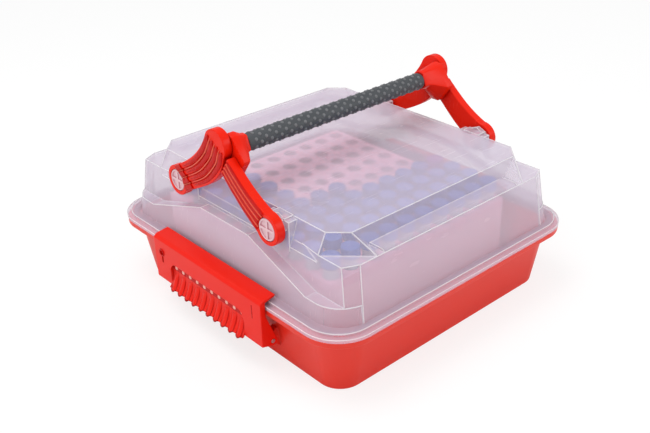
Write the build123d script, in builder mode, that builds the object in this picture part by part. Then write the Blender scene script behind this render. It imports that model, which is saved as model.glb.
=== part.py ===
from build123d import *
import os
from math import atan, cos, degrees, radians, sin, tan

# Specimen transport box: a red tray, a clear lid held by two long latches, a
# carrying handle of two bows that fold outwards, and four racks of tubes.
# Millimetres. X runs along the handle, Y across it and Z up; the origin is
# under the middle of the tray.

# ------------------------------------------------------- overall, and clearances
RIM_HALF_X = 200.0       # outer edge of the rim, which the walls are set in from
RIM_HALF_Y = 214.0
RIM_CORNER = 48.0
FIT_GAP = 0.3            # between neighbours that move or lift apart
PIN_GAP = 0.06           # radial, of a pin in its turning bore
CUT_PAST = 1.0           # how far a cut runs past the face that it opens

# ---------------------------------------------------------------------- tray
TRAY_INSET = 25.9        # from the rim to the wall, at the floor
TRAY_CORNER = 28.0
TRAY_FLARE = 12.2        # how far each wall leans out up to the lip
TRAY_WALL = 3.0
LIP_Z = 73.5             # underside of the lip
LIP_HEIGHT = 6.8
LIP_INSET = 0.5
LIP_SKIRT = 3.0          # wall of the turned-down lip
LIP_HOLLOW = 4.0         # depth of the hollow under the lip
TONGUE_INSET = 9.8       # from the rim to the sealing tongue
TONGUE_WIDTH = 3.0
TONGUE_HEIGHT = 3.9

# ----------------------------------------------------------------------- lid
RIM_THICKNESS = 4.0
RIM_STEP = 6.0           # width of the outer rim, before it steps up
RIM_RAISE = 3.4
LID_WALL = 2.0
LID_DRAFT = 8.75         # lean of the outer walls, in degrees
SEAL_HEIGHT = 1.6
SKIRT_INSET_X = 17.0     # from the rim to the lid wall, where it rises
SKIRT_INSET_Y = 13.7
SKIRT_CORNER = 38.0
SHOULDER_Z = 139.0       # level stretch of the end bulge's arched line
SHOULDER_HALF = 45.0
SHOULDER_FOOT_INSET = 69.0
SHOULDER_FOOT_Z = 108.0
TOWER_Z = 151.5          # tops of the four corner towers
TOWER_INSET_X = 38.0
TOWER_LEAN = 4.5
TOWER_CHAMFER_X = 18.0
TOWER_CHAMFER_Y = 8.5
TOWER_LENGTH_X = 53.0    # from the tower's outer side to the long ledge
TOWER_FACE = 11.0        # run of its slope along the long wall
TOWER_LENGTH_Y = 43.5    # from the tower's outer side to the end wall
END_WALL_DEPTH = 4.0     # of the end wall, behind the towers
END_WALL_LEAN = 6.5
END_WALL_SPLAY = 30.0    # length of its turn out to the tower
PLATEAU_Z = 173.5
PLATEAU_INSET_X = 49.4
PLATEAU_INSET_Y = 48.8
PLATEAU_CHAMFER = 18.9
PLATEAU_LEAN = 2.8
LEDGE_Z = 154.0          # long ledge between two towers
LEDGE_ROUND = 7.0

# -------------------------------------------------------------- handle pivots
PIVOT_Y = 83.8
PIVOT_Z = 161.9
PIVOT_PIN = 8.0          # radius of the shaft
PIVOT_SHAFT = 25.2       # length of the shaft, under the head
PIVOT_HEAD = 13.2        # radius of the cross-slotted head
PIVOT_HEAD_THICK = 2.8
HEAD_SIDES = 20
SHAFT_SIDES = 12
SEAT_SIDES = 8           # of the holes in which pins are pressed
BLOCK_HALF = 19.0        # half the width of the moulded block at a pivot
BLOCK_PROUD = 1.0        # of the block, past the towers
BLOCK_Z = 172.0
BOSS_RADIUS = 15.0

# -------------------------------------------------------------------- handle
ARM_INSET = 33.0         # from the rim to the inner face of an arm
ARM_THICK = 11.0
EYE_RADIUS = 18.5
GRIP_Y = -13.0
GRIP_Z = 229.5
GRIP_RADIUS = 10.3
GRIP_SHIFT = -8.0        # the sleeve sits nearer the left arm
CORE_RADIUS = 6.0
CORE_WALL = 2.0
CORE_SIDES = 12
CORE_SEAT = 12.0         # length of core inside each socket
SOCKET_RADIUS = 11.0
SOCKET_LENGTH = 19.5     # mean of the two sockets
END_THICK = 9.0          # six-sided end fitting of the grip
KEY_HALF = 3.5           # square keys that hold fitting and bar to the arms
KEY_LENGTH = 7.0
KNOB_Z = 232.0           # round head of the rear arm, over the middle
KNOB_RADIUS = 18.5
BAR_Y = 7.6              # crossbar of the rear bow, behind the grip
BAR_Z = 221.5
BAR_RADIUS = 7.4
GROOVE_DEPTH = 1.2

# ------------------------------------------------------------------- latches
HINGE_INSET = 7.0        # from the rim to the hinge line
HINGE_Z = 37.0
HINGE_PIN = 2.5
CHEEK_RADIUS = 6.0
LUG_RADIUS = 5.5
LATCH_HALF = 104.0
LATCH_PROUD = 8.0        # of the latch face, past the rim
LATCH_WALL = 2.5
LATCH_BEND = 5.0
LATCH_TOP_Z = 95.5
LATCH_FRONT_Z = 92.0
LATCH_FOOT_Z = 35.0
HOOD_REACH = 13.0        # of the hood, in over the rim
CHEEK_WIDTH = 6.0
HINGE_LUG_WIDTH = 9.0
CATCH_Z = 87.1
CATCH_WIDTH = 5.5
CATCH_HALF = 70.0
CATCH_INSET = 2.5
WINDOW_HALF = 72.5       # opening in the face, round the finger ribs
WINDOW_TOP_Z = 66.0
WINDOW_ROUND = 12.0
PANEL_DEPTH = 4.0        # of the panel that carries the ribs, behind the face
PANEL_WALL = 2.0
PANEL_FLARE = 8.0
PANEL_FOOT_Z = 33.5
FLARE_Z = 55.75          # where the panel starts to flare
RIB_COUNT = 10
RIB_PITCH = 14.4
RIB_WIDTH = 8.5
RIB_TOP_Z = 61.0
RIB_PROUD = 2.2
RIB_DROP = 2.5           # how far a rib hangs below the panel
LOCK_HOLE = 3.0
LOCK_HOLE_Y = 88.0

# ------------------------------------------------------------ racks and tubes
TUBE_PITCH = 29.0
BACK_ROW_PITCH = 33.0
ROWS = 5
COLUMNS = 5
RACK_MARGIN = 14.2       # from the outer holes to the rack's edge
RACK_MIDDLE_GAP = 0.3    # half the gap between left and right racks
RACK_TOP_Z = 106.0
RACK_PLATE = 3.0
RACK_RIM = 12.0          # depth of the plate's turned-down rim
RACK_WALL = 2.0
RACK_FLOOR_Z = 12.0      # where the tube tips stand
RACK_FLOOR = 2.5
HOLE_RADIUS = 9.0
TUBE_RADIUS = 8.3
TUBE_TIP_RADIUS = 1.5
TUBE_CONE = 21.0
TUBE_LENGTH = 120.0      # tip to the top of the cap
CAP_RADIUS = 10.95
CAP_HEIGHT = 13.0
CAP_SIDES = 8
TUBE_SIDES = 6

# --------------------------------------------------------- sizes that follow
TRAY_HALF_X = RIM_HALF_X - TRAY_INSET
TRAY_HALF_Y = RIM_HALF_Y - TRAY_INSET
LIP_TOP_Z = LIP_Z + LIP_HEIGHT
TONGUE_TOP_Z = LIP_TOP_Z + TONGUE_HEIGHT
RIM_Z = LIP_TOP_Z + FIT_GAP
RIM_TOP_Z = RIM_Z + RIM_THICKNESS
RAISED_Z = RIM_TOP_Z + RIM_RAISE
LID_SLOPE = tan(radians(LID_DRAFT))
SKIRT_HALF_X = RIM_HALF_X - SKIRT_INSET_X
SKIRT_HALF_Y = RIM_HALF_Y - SKIRT_INSET_Y
SHOULDER_HALF_X = SKIRT_HALF_X - (SHOULDER_Z - RAISED_Z) * LID_SLOPE
SHOULDER_FOOT_Y = RIM_HALF_Y - SHOULDER_FOOT_INSET
TOWER_HALF_X = RIM_HALF_X - TOWER_INSET_X
TOWER_HALF_Y = SKIRT_HALF_Y - (TOWER_Z - RAISED_Z) * LID_SLOPE
TOWER_FOOT_X = TOWER_HALF_X + TOWER_LEAN
TOWER_CORNER_Y = TOWER_HALF_Y - TOWER_CHAMFER_Y
TOWER_END_Y = TOWER_HALF_Y - TOWER_LENGTH_Y
TOWER_INNER_X = TOWER_HALF_X - TOWER_LENGTH_X
END_WALL_X = TOWER_HALF_X - END_WALL_DEPTH
END_WALL_Y = TOWER_END_Y - END_WALL_SPLAY
PLATEAU_HALF_X = RIM_HALF_X - PLATEAU_INSET_X
PLATEAU_HALF_Y = RIM_HALF_Y - PLATEAU_INSET_Y
BLOCK_X = TOWER_HALF_X + BLOCK_PROUD
ARM_INNER_X = RIM_HALF_X - ARM_INSET
ARM_OUTER_X = ARM_INNER_X + ARM_THICK
HEAD_UNDER_X = ARM_OUTER_X - PIVOT_HEAD_THICK
END_INNER_X = ARM_INNER_X - END_THICK
GRIP_HALF = END_INNER_X - SOCKET_LENGTH
HINGE_X = RIM_HALF_X - HINGE_INSET
HINGE_CHEEK_Y = LATCH_HALF - CHEEK_WIDTH
LATCH_FACE_X = RIM_HALF_X + LATCH_PROUD
PANEL_X = LATCH_FACE_X - PANEL_DEPTH


def save(part, label):
    """Name one finished piece and write it to its own file."""
    part.label = label
    export_step(part, f"parts/{label}.step")


def drafted_block(low_z, high_z, half_x, half_y, corner, draft):
    """Block on a rounded rectangle; its walls lean out by draft degrees."""
    with BuildPart() as block:
        with BuildSketch(Plane.XY.offset(low_z)):
            RectangleRounded(2 * half_x, 2 * half_y, corner)
        extrude(amount=high_z - low_z, taper=-draft)
    return block.part


def rounded_ring(inset, width, low_z, high_z):
    """Band that follows the rim, from its edge inset inwards by its width."""
    with BuildPart() as band:
        with BuildSketch(Plane.XY.offset(low_z)):
            RectangleRounded(2 * (RIM_HALF_X - inset), 2 * (RIM_HALF_Y - inset), RIM_CORNER - inset)
            inner = inset + width
            RectangleRounded(
                2 * (RIM_HALF_X - inner), 2 * (RIM_HALF_Y - inner), RIM_CORNER - inner,
                mode=Mode.SUBTRACT,
            )
        extrude(amount=high_z - low_z)
    return band.part


os.makedirs("parts", exist_ok=True)

# ================================================================== base tray
TRAY_SLOPE = TRAY_FLARE / LIP_Z
TRAY_DRAFT = degrees(atan(TRAY_SLOPE))
cavity_inset = TRAY_WALL - TRAY_SLOPE * TRAY_WALL
tray_body = drafted_block(0, LIP_Z + CUT_PAST, TRAY_HALF_X, TRAY_HALF_Y, TRAY_CORNER, TRAY_DRAFT)
tray_cavity = drafted_block(
    TRAY_WALL, TONGUE_TOP_Z + CUT_PAST,
    TRAY_HALF_X - cavity_inset, TRAY_HALF_Y - cavity_inset, TRAY_CORNER - cavity_inset, TRAY_DRAFT,
)
lip = drafted_block(
    LIP_Z, LIP_TOP_Z, RIM_HALF_X - LIP_INSET, RIM_HALF_Y - LIP_INSET, RIM_CORNER - LIP_INSET, 0
)
hollow_inset = LIP_INSET + LIP_SKIRT
lip_hollow = rounded_ring(
    hollow_inset, TRAY_INSET - TRAY_FLARE - TRAY_WALL - hollow_inset, LIP_Z - CUT_PAST, LIP_Z + LIP_HOLLOW
)
tongue = rounded_ring(TONGUE_INSET, TONGUE_WIDTH, LIP_TOP_Z, TONGUE_TOP_Z)

with BuildPart() as base_tray:
    add(tray_body)
    add(lip)
    add(lip_hollow, mode=Mode.SUBTRACT)
    add(tongue)
    add(tray_cavity, mode=Mode.SUBTRACT)
    # four hinge lugs, two to a latch, that reach out from the end walls
    wall_x = TRAY_HALF_X + TRAY_SLOPE * HINGE_Z
    lug_root = wall_x - TRAY_WALL / 2
    lug_y = HINGE_CHEEK_Y - FIT_GAP - HINGE_LUG_WIDTH
    for side in (-1, 1):
        start = lug_y if side > 0 else -lug_y - HINGE_LUG_WIDTH
        with BuildSketch(Plane.XZ.offset(-start)):
            with BuildLine():
                Polyline(
                    (lug_root, HINGE_Z - 3 * LUG_RADIUS),
                    (HINGE_X, HINGE_Z - LUG_RADIUS),
                    (HINGE_X, HINGE_Z + LUG_RADIUS),
                    (lug_root, HINGE_Z + 2 * LUG_RADIUS),
                    close=True,
                )
            make_face()
            with Locations((HINGE_X, HINGE_Z)):
                RegularPolygon(LUG_RADIUS, SEAT_SIDES, major_radius=False)
                RegularPolygon(HINGE_PIN, SEAT_SIDES, major_radius=False, mode=Mode.SUBTRACT)
            mirror(about=Plane.YZ)
        extrude(amount=-HINGE_LUG_WIDTH)
save(base_tray.part, "base_tray")

# ======================================================= latches and their pins
HOOD_TIP_X = RIM_HALF_X - HOOD_REACH
rib_foot = PANEL_FOOT_Z - RIB_DROP
rib_out = PANEL_X + PANEL_FLARE + RIB_PROUD
with BuildPart() as latch_right:
    # hood and upright face
    with BuildSketch(Plane.XZ):
        with BuildLine():
            Polyline(
                (LATCH_FACE_X - LATCH_WALL, LATCH_FOOT_Z),
                (LATCH_FACE_X, LATCH_FOOT_Z),
                (LATCH_FACE_X, LATCH_FRONT_Z - LATCH_BEND / 2),
                (LATCH_FACE_X - LATCH_BEND / 2, LATCH_FRONT_Z),
                (LATCH_FACE_X - LATCH_BEND, LATCH_FRONT_Z + LATCH_BEND / 4),
                (HOOD_TIP_X, LATCH_TOP_Z),
                (HOOD_TIP_X, LATCH_TOP_Z - LATCH_WALL),
                (LATCH_FACE_X - LATCH_BEND, LATCH_FRONT_Z - LATCH_WALL),
                (LATCH_FACE_X - LATCH_WALL, LATCH_FRONT_Z - LATCH_BEND),
                close=True,
            )
        make_face()
    extrude(amount=LATCH_HALF, both=True)
    # window round the ribs, with rounded upper corners and open below
    with BuildSketch(Plane.YZ.offset(LATCH_FACE_X - 2 * LATCH_WALL)):
        with Locations((0, WINDOW_TOP_Z - WINDOW_ROUND)):
            Rectangle(2 * WINDOW_HALF, WINDOW_TOP_Z, align=(Align.CENTER, Align.MAX))
        for side in (-1, 1):
            with Locations((side * (WINDOW_HALF - WINDOW_ROUND), WINDOW_TOP_Z - WINDOW_ROUND)):
                Circle(WINDOW_ROUND)
        with Locations((0, WINDOW_TOP_Z - WINDOW_ROUND)):
            Rectangle(2 * (WINDOW_HALF - WINDOW_ROUND), WINDOW_ROUND, align=(Align.CENTER, Align.MIN))
    extrude(amount=4 * LATCH_WALL, mode=Mode.SUBTRACT)
    # recessed panel that flares out at the foot, with a frame to the face
    panel_back = PANEL_X - PANEL_WALL
    panel_top = WINDOW_TOP_Z + PANEL_WALL
    with BuildSketch(Plane.XZ):
        with BuildLine():
            down = Line((PANEL_X, panel_top), (PANEL_X, FLARE_Z))
            out = TangentArc(down @ 1, (PANEL_X + PANEL_FLARE, PANEL_FOOT_Z), tangent=down % 1)
            foot = Line(out @ 1, (panel_back + PANEL_FLARE, PANEL_FOOT_Z))
            back = TangentArc(
                (panel_back, FLARE_Z), (panel_back + PANEL_FLARE, PANEL_FOOT_Z), tangent=down % 1
            )
            Line((panel_back, FLARE_Z), (panel_back, panel_top))
            Line((panel_back, panel_top), down @ 0)
        make_face()
    extrude(amount=WINDOW_HALF, both=True)
    hang = (Align.CENTER, Align.MAX)
    with BuildSketch(Plane.YZ.offset(panel_back)):
        with Locations((0, panel_top)):
            Rectangle(2 * (WINDOW_HALF + PANEL_WALL), panel_top - LATCH_FOOT_Z, align=hang)
        with Locations((0, WINDOW_TOP_Z)):
            Rectangle(2 * WINDOW_HALF, WINDOW_TOP_Z, align=hang, mode=Mode.SUBTRACT)
    extrude(amount=LATCH_FACE_X - LATCH_WALL - panel_back)
    # ribs for the fingers
    rib_top = (PANEL_X - PANEL_WALL / 2, RIB_TOP_Z)
    rib_middle = (PANEL_X + RIB_PROUD, (RIB_TOP_Z + PANEL_FOOT_Z) / 2 + RIB_PROUD)
    for index in range(RIB_COUNT):
        rib_y = (index - (RIB_COUNT - 1) / 2) * RIB_PITCH
        with BuildSketch(Plane.XZ.offset(-rib_y)):
            with BuildLine():
                front = ThreePointArc(rib_top, rib_middle, (rib_out, rib_foot))
                Polyline(
                    rib_top, (PANEL_X - PANEL_WALL / 5, FLARE_Z - 3 * PANEL_WALL),
                    (rib_out - 2 * RIB_PROUD, rib_foot), front @ 1,
                )
            make_face()
        extrude(amount=RIB_WIDTH / 2, both=True)
    # catch under the hood
    with Locations((RIM_HALF_X - CATCH_INSET, 0, CATCH_Z)):
        Box(
            CATCH_WIDTH, 2 * CATCH_HALF, LATCH_FRONT_Z - CATCH_Z,
            align=(Align.MIN, Align.CENTER, Align.MIN),
        )
    # cheeks that reach back below the lip to the hinge pins
    for side in (-1, 1):
        start = HINGE_CHEEK_Y if side > 0 else -LATCH_HALF
        cheek_x = RIM_HALF_X + CUT_PAST
        with BuildSketch(Plane.XZ.offset(-start)):
            with BuildLine():
                Polyline(
                    (HINGE_X, HINGE_Z - CHEEK_RADIUS),
                    (LATCH_FACE_X - LATCH_WALL / 2, LATCH_FOOT_Z),
                    (LATCH_FACE_X - LATCH_WALL / 2, LATCH_FRONT_Z - LATCH_WALL),
                    (cheek_x, LATCH_FRONT_Z - LATCH_WALL / 2),
                    (cheek_x, LIP_Z - CUT_PAST),
                    (HINGE_X - CHEEK_RADIUS * 0.8, HINGE_Z + CHEEK_RADIUS * 0.6),
                    close=True,
                )
            make_face()
            with Locations((HINGE_X, HINGE_Z)):
                RegularPolygon(CHEEK_RADIUS, SHAFT_SIDES)
                Circle(HINGE_PIN + PIN_GAP, mode=Mode.SUBTRACT)
        extrude(amount=-CHEEK_WIDTH)
    # hole for a seal tag beside the window
    with BuildSketch(Plane.YZ.offset(LATCH_FACE_X - 2 * LATCH_WALL)):
        with Locations((-LOCK_HOLE_Y, WINDOW_TOP_Z + 8)):
            RegularPolygon(LOCK_HOLE, SHAFT_SIDES)
        with Locations((-LOCK_HOLE_Y, WINDOW_TOP_Z)):
            Rectangle(LOCK_HOLE, 4 * LOCK_HOLE)
    extrude(amount=4 * LATCH_WALL, mode=Mode.SUBTRACT)

with BuildPart() as latch_left:
    add(latch_right.part.rotate(Axis.Z, 180))

with BuildPart() as latch_pins_right:
    for side in (-1, 1):
        start = lug_y if side > 0 else -LATCH_HALF
        with BuildSketch(Plane.XZ.offset(-start)):
            with Locations((HINGE_X, HINGE_Z)):
                RegularPolygon(HINGE_PIN, SHAFT_SIDES)
        extrude(amount=-(LATCH_HALF - lug_y))

with BuildPart() as latch_pins_left:
    add(latch_pins_right.part.rotate(Axis.Z, 180))

save(latch_right.part, "latch_right")
save(latch_left.part, "latch_left")
save(latch_pins_right.part, "latch_pins_right")
save(latch_pins_left.part, "latch_pins_left")


# ======================================================================== lid
def facet(inset, a, b, c):
    """Plane through three points of the lid, facing out, moved in by inset."""
    first, second, third = Vector(*a), Vector(*b), Vector(*c)
    normal = (second - first).cross(third - first).normalized()
    if normal.dot(first - Vector(0, 0, RIM_Z)) < 0:
        normal = normal * -1
    return Plane(origin=first - normal * inset, z_dir=normal)


def cut_block(corner, opposite, inside=(), outside=()):
    """Box between two corners, kept inside or outside each given plane."""
    size = [opposite[i] - corner[i] for i in range(3)]
    with BuildPart() as block:
        with Locations(corner):
            Box(*size, align=(Align.MIN, Align.MIN, Align.MIN))
        for plane in inside:
            split(bisect_by=plane, keep=Keep.BOTTOM)
        for plane in outside:
            split(bisect_by=plane, keep=Keep.TOP)
    return block.part


def long_wall(inset):
    """The long outer wall, drafted in one plane from rim to tower."""
    return facet(
        inset, (0, SKIRT_HALF_Y, RAISED_Z), (RIM_HALF_X, SKIRT_HALF_Y, RAISED_Z),
        (0, TOWER_HALF_Y, TOWER_Z),
    )


def lid_skirt(inset, foot_z):
    """Quarter of the lower lid: the end bulge under its arched shoulder."""
    end_plane = facet(
        inset, (SKIRT_HALF_X, 0, RAISED_Z), (SKIRT_HALF_X, PIVOT_Y, RAISED_Z),
        (SHOULDER_HALF_X, 0, SHOULDER_Z),
    )
    block = cut_block(
        (0, 0, foot_z), (RIM_HALF_X, RIM_HALF_Y, SHOULDER_Z - inset),
        inside=(end_plane, long_wall(inset)),
    )
    with BuildPart() as skirt:
        add(block)
        corner = skirt.edges().filter_by(lambda edge: abs(edge.tangent_at(0.5).Z) > 0.5)
        fillet(corner.sort_by(lambda edge: edge.center().X + edge.center().Y)[-1], SKIRT_CORNER - inset)
        with BuildSketch(Plane.YZ):
            with BuildLine():
                Polyline(
                    (SHOULDER_HALF, SHOULDER_Z - inset),
                    (SHOULDER_FOOT_Y, SHOULDER_FOOT_Z - inset),
                    (RIM_HALF_Y, SHOULDER_FOOT_Z - inset),
                    (RIM_HALF_Y, SHOULDER_Z + CUT_PAST),
                    (SHOULDER_HALF, SHOULDER_Z + CUT_PAST),
                    close=True,
                )
            make_face()
        extrude(amount=RIM_HALF_X, mode=Mode.SUBTRACT)
    return skirt.part


def lid_form(inset, foot_z):
    """Solid under the lid's skin, moved in by inset, down to foot_z."""
    tower_end = (TOWER_HALF_X, TOWER_END_Y, TOWER_Z)
    wall_turn = (END_WALL_X, END_WALL_Y, TOWER_Z)
    top_end = (PLATEAU_HALF_X, PLATEAU_HALF_Y - PLATEAU_CHAMFER, PLATEAU_Z)
    top_side = (PLATEAU_HALF_X - PLATEAU_CHAMFER, PLATEAU_HALF_Y, PLATEAU_Z)
    tower_face = (TOWER_INNER_X + TOWER_FACE, TOWER_HALF_Y, TOWER_Z)
    tower_root = (TOWER_INNER_X, PLATEAU_HALF_Y + PLATEAU_LEAN, TOWER_Z)
    tower_top = TOWER_Z - inset
    chamfer_plane = facet(inset, top_end, top_side, tower_end)

    skirt = lid_skirt(inset, foot_z)
    tower = cut_block(
        (0, 0, foot_z), (RIM_HALF_X, RIM_HALF_Y, tower_top),
        inside=(
            facet(inset, tower_end, (TOWER_HALF_X, 0, TOWER_Z), (TOWER_FOOT_X, 0, RAISED_Z)),
            facet(
                inset, (TOWER_HALF_X, TOWER_CORNER_Y, TOWER_Z),
                (TOWER_HALF_X - TOWER_CHAMFER_X, TOWER_HALF_Y, TOWER_Z),
                (TOWER_FOOT_X, SKIRT_HALF_Y - TOWER_CHAMFER_Y, RAISED_Z),
            ),
            long_wall(inset),
        ),
    )
    end_recess = cut_block(
        (END_WALL_X - 4 * LID_WALL, 0, SHOULDER_FOOT_Z - inset),
        (RIM_HALF_X, TOWER_END_Y + LID_WALL, TOWER_Z + CUT_PAST),
        outside=(
            facet(inset, wall_turn, (END_WALL_X, 0, TOWER_Z), (END_WALL_X + END_WALL_LEAN, 0, SHOULDER_Z)),
            facet(inset, wall_turn, tower_end, (TOWER_FOOT_X, TOWER_END_Y, SHOULDER_FOOT_Z)),
        ),
    )
    plateau = cut_block(
        (0, 0, tower_top - LID_WALL), (RIM_HALF_X, RIM_HALF_Y, PLATEAU_Z - inset),
        inside=(
            facet(inset, top_end, (PLATEAU_HALF_X, 0, PLATEAU_Z), wall_turn),
            facet(inset, top_side, (0, PLATEAU_HALF_Y, PLATEAU_Z), tower_root),
            chamfer_plane,
        ),
    )
    tower_slope = cut_block(
        (TOWER_INNER_X - PLATEAU_CHAMFER, END_WALL_Y - PLATEAU_CHAMFER, tower_top),
        (RIM_HALF_X, RIM_HALF_Y, PLATEAU_Z - inset),
        inside=(
            facet(inset, top_end, tower_end, wall_turn),
            facet(inset, top_side, tower_root, tower_face),
            chamfer_plane,
        ),
    )
    ledge = cut_block(
        (0, PLATEAU_HALF_Y - LEDGE_ROUND, TOWER_Z - 4 * LID_WALL),
        (TOWER_INNER_X - inset, RIM_HALF_Y, LEDGE_Z - inset),
        inside=(long_wall(inset),),
    )
    with BuildPart() as form:
        add(ledge)
        brink = form.edges().filter_by(Axis.X).group_by(Axis.Z)[-1].sort_by(Axis.Y)[-1]
        fillet(brink, LEDGE_ROUND - inset)
        add(tower)
        add(end_recess, mode=Mode.SUBTRACT)
        add(skirt)
        add(plateau)
        add(tower_slope)
        # block that carries the handle pivot
        with Locations((PLATEAU_HALF_X - BLOCK_HALF, PIVOT_Y, SHOULDER_FOOT_Z)):
            Box(
                BLOCK_X - inset - PLATEAU_HALF_X + BLOCK_HALF, 2 * (BLOCK_HALF - inset),
                BLOCK_Z - inset - SHOULDER_FOOT_Z, align=(Align.MIN, Align.CENTER, Align.MIN),
            )
        mirror(about=Plane.YZ)
        mirror(about=Plane.XZ)
    return form.part


def pivot_planes(x):
    """Planes at the four handle pivots, facing out, that far from the middle."""
    return [
        Plane(origin=(side_x * x, side_y * PIVOT_Y, PIVOT_Z), x_dir=(0, 1, 0), z_dir=(side_x, 0, 0))
        for side_x in (-1, 1) for side_y in (-1, 1)
    ]


lid_outer = lid_form(0, RIM_TOP_Z)
lid_cavity = lid_form(LID_WALL, RIM_Z - CUT_PAST)
rim = rounded_ring(0, SKIRT_CORNER, RIM_Z, RIM_TOP_Z)
raised_rim = rounded_ring(RIM_STEP, SKIRT_CORNER - RIM_STEP, RIM_TOP_Z, RAISED_Z)
groove_inset = TONGUE_INSET - 4 * FIT_GAP
groove_width = TONGUE_WIDTH + 8 * FIT_GAP
groove_top = TONGUE_TOP_Z + FIT_GAP + SEAL_HEIGHT
seal_groove = rounded_ring(groove_inset, groove_width, RIM_Z - CUT_PAST, groove_top)
shaft_end_x = HEAD_UNDER_X - PIVOT_SHAFT
boss_x = ARM_INNER_X - FIT_GAP

with BuildPart() as lid_shell:
    add(rim)
    add(raised_rim)
    add(lid_outer)
    add(lid_cavity, mode=Mode.SUBTRACT)
    add(seal_groove, mode=Mode.SUBTRACT)
    # a square sleeve behind each pivot block, a round boss on it, and the bore
    with BuildSketch(*pivot_planes(shaft_end_x)):
        Rectangle(2 * PIVOT_PIN + 4 * LID_WALL, 2 * PIVOT_PIN + 4 * LID_WALL)
    extrude(amount=BLOCK_X - shaft_end_x)
    with BuildSketch(*pivot_planes(BLOCK_X - LID_WALL)):
        RegularPolygon(BOSS_RADIUS, SEAT_SIDES)
    extrude(amount=boss_x - BLOCK_X + LID_WALL)
    with BuildSketch(*pivot_planes(shaft_end_x)):
        RegularPolygon(PIVOT_PIN, SEAT_SIDES, major_radius=False)
    extrude(amount=boss_x - shaft_end_x + CUT_PAST, mode=Mode.SUBTRACT)
save(lid_shell.part, "lid_shell")

with BuildPart() as lid_seal:
    add(rounded_ring(groove_inset, groove_width, groove_top - SEAL_HEIGHT, groove_top))
save(lid_seal.part, "lid_seal")

with BuildPart() as pivot_pins:
    with BuildSketch(*pivot_planes(shaft_end_x)):
        RegularPolygon(PIVOT_PIN, SHAFT_SIDES)
    extrude(amount=PIVOT_SHAFT)
    with BuildSketch(*pivot_planes(HEAD_UNDER_X)):
        RegularPolygon(PIVOT_HEAD, HEAD_SIDES)
    extrude(amount=PIVOT_HEAD_THICK)
    # cross-shaped recess, sunk between four raised quarters
    with BuildSketch(*pivot_planes(ARM_OUTER_X)):
        Rectangle(1.5 * PIVOT_HEAD, PIVOT_HEAD / 4)
        Rectangle(PIVOT_HEAD / 4, 1.5 * PIVOT_HEAD)
    extrude(amount=-PIVOT_HEAD_THICK / 3, mode=Mode.SUBTRACT)
save(pivot_pins.part, "pivot_pins")


# ===================================================================== handle
def blend_points(upper, lower, share):
    """Points of a line that runs between two edges, a share of the way."""
    return [
        (a[0] + (b[0] - a[0]) * share, a[1] + (b[1] - a[1]) * share) for a, b in zip(upper, lower)
    ]


def eye_point(side, angle):
    """Point on an eye's rim; the angle is from the line to the box's middle."""
    reach = EYE_RADIUS * cos(radians(angle))
    return (side * (PIVOT_Y - reach), PIVOT_Z + EYE_RADIUS * sin(radians(angle)))


def arm_outline(upper, lower):
    """Lines round an arm, from its two curved edges."""
    with BuildLine() as outline:
        top = Spline(*upper)
        bottom = Spline(*lower)
        Line(top @ 0, bottom @ 0)
        Line(top @ 1, bottom @ 1)
    return outline.line


def eye_cuts(centre, plane):
    """Bore for the pivot pin and the wider recess for its head."""
    with BuildSketch(plane) as bore:
        with Locations(centre):
            Circle(PIVOT_PIN + PIN_GAP)
    extrude(bore.sketch, amount=-ARM_THICK, mode=Mode.SUBTRACT)
    with BuildSketch(plane) as recess:
        with Locations(centre):
            Circle(PIVOT_HEAD + FIT_GAP)
    extrude(recess.sketch, amount=-(PIVOT_HEAD_THICK + FIT_GAP), mode=Mode.SUBTRACT)


def grooves(upper, lower, shares, half_share, plane):
    """Long shallow grooves that narrow with the arm, on its outer face."""
    for share in shares:
        with BuildSketch(plane) as strip:
            with BuildLine():
                first = Spline(*blend_points(upper, lower, share - half_share))
                second = Spline(*blend_points(upper, lower, share + half_share))
                Line(first @ 0, second @ 0)
                Line(first @ 1, second @ 1)
            make_face()
        extrude(strip.sketch, amount=-GROOVE_DEPTH, mode=Mode.SUBTRACT)


def square_key(centre, plane, half, length, mode):
    """Square key that stands on one piece, or the blind hole for it."""
    with BuildSketch(plane) as key:
        with Locations(centre):
            Rectangle(2 * half, 2 * half)
    extrude(key.sketch, amount=length, mode=mode)


# Edges of the arms as (Y, Z), each from the head down to the eye.
FRONT_UPPER = [
    (-22, KNOB_Z - 9), (-34, KNOB_Z - 20), (-52, PIVOT_Z + 36), (-70, PIVOT_Z + 25), eye_point(-1, 90),
]
FRONT_LOWER = [
    (-8, KNOB_Z - 29), (-24, KNOB_Z - 44), (-42, PIVOT_Z + 10), (-58, PIVOT_Z - 2), eye_point(-1, -32),
]
END_FITTING = [(-1, -20), (-1, 12), (-9, 18), (-19, 15), (-37, -9), (-22, -31), (-10, -31)]
REAR_UPPER = [
    (17, KNOB_Z + 7), (30, KNOB_Z - 12), (50, PIVOT_Z + 40), (72, PIVOT_Z + 26), eye_point(1, 100),
]
REAR_LOWER = [
    (-15, KNOB_Z - 11), (-9, KNOB_Z - 26), (14, PIVOT_Z + 20), (44, PIVOT_Z + 3), eye_point(1, -32),
]
KEY_SPOT = (-21, KNOB_Z - 25)

outer_face = Plane.YZ.offset(ARM_OUTER_X)
inner_face = Plane.YZ.offset(ARM_INNER_X)
front_pivot = (-PIVOT_Y, PIVOT_Z)
rear_pivot = (PIVOT_Y, PIVOT_Z)

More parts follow.
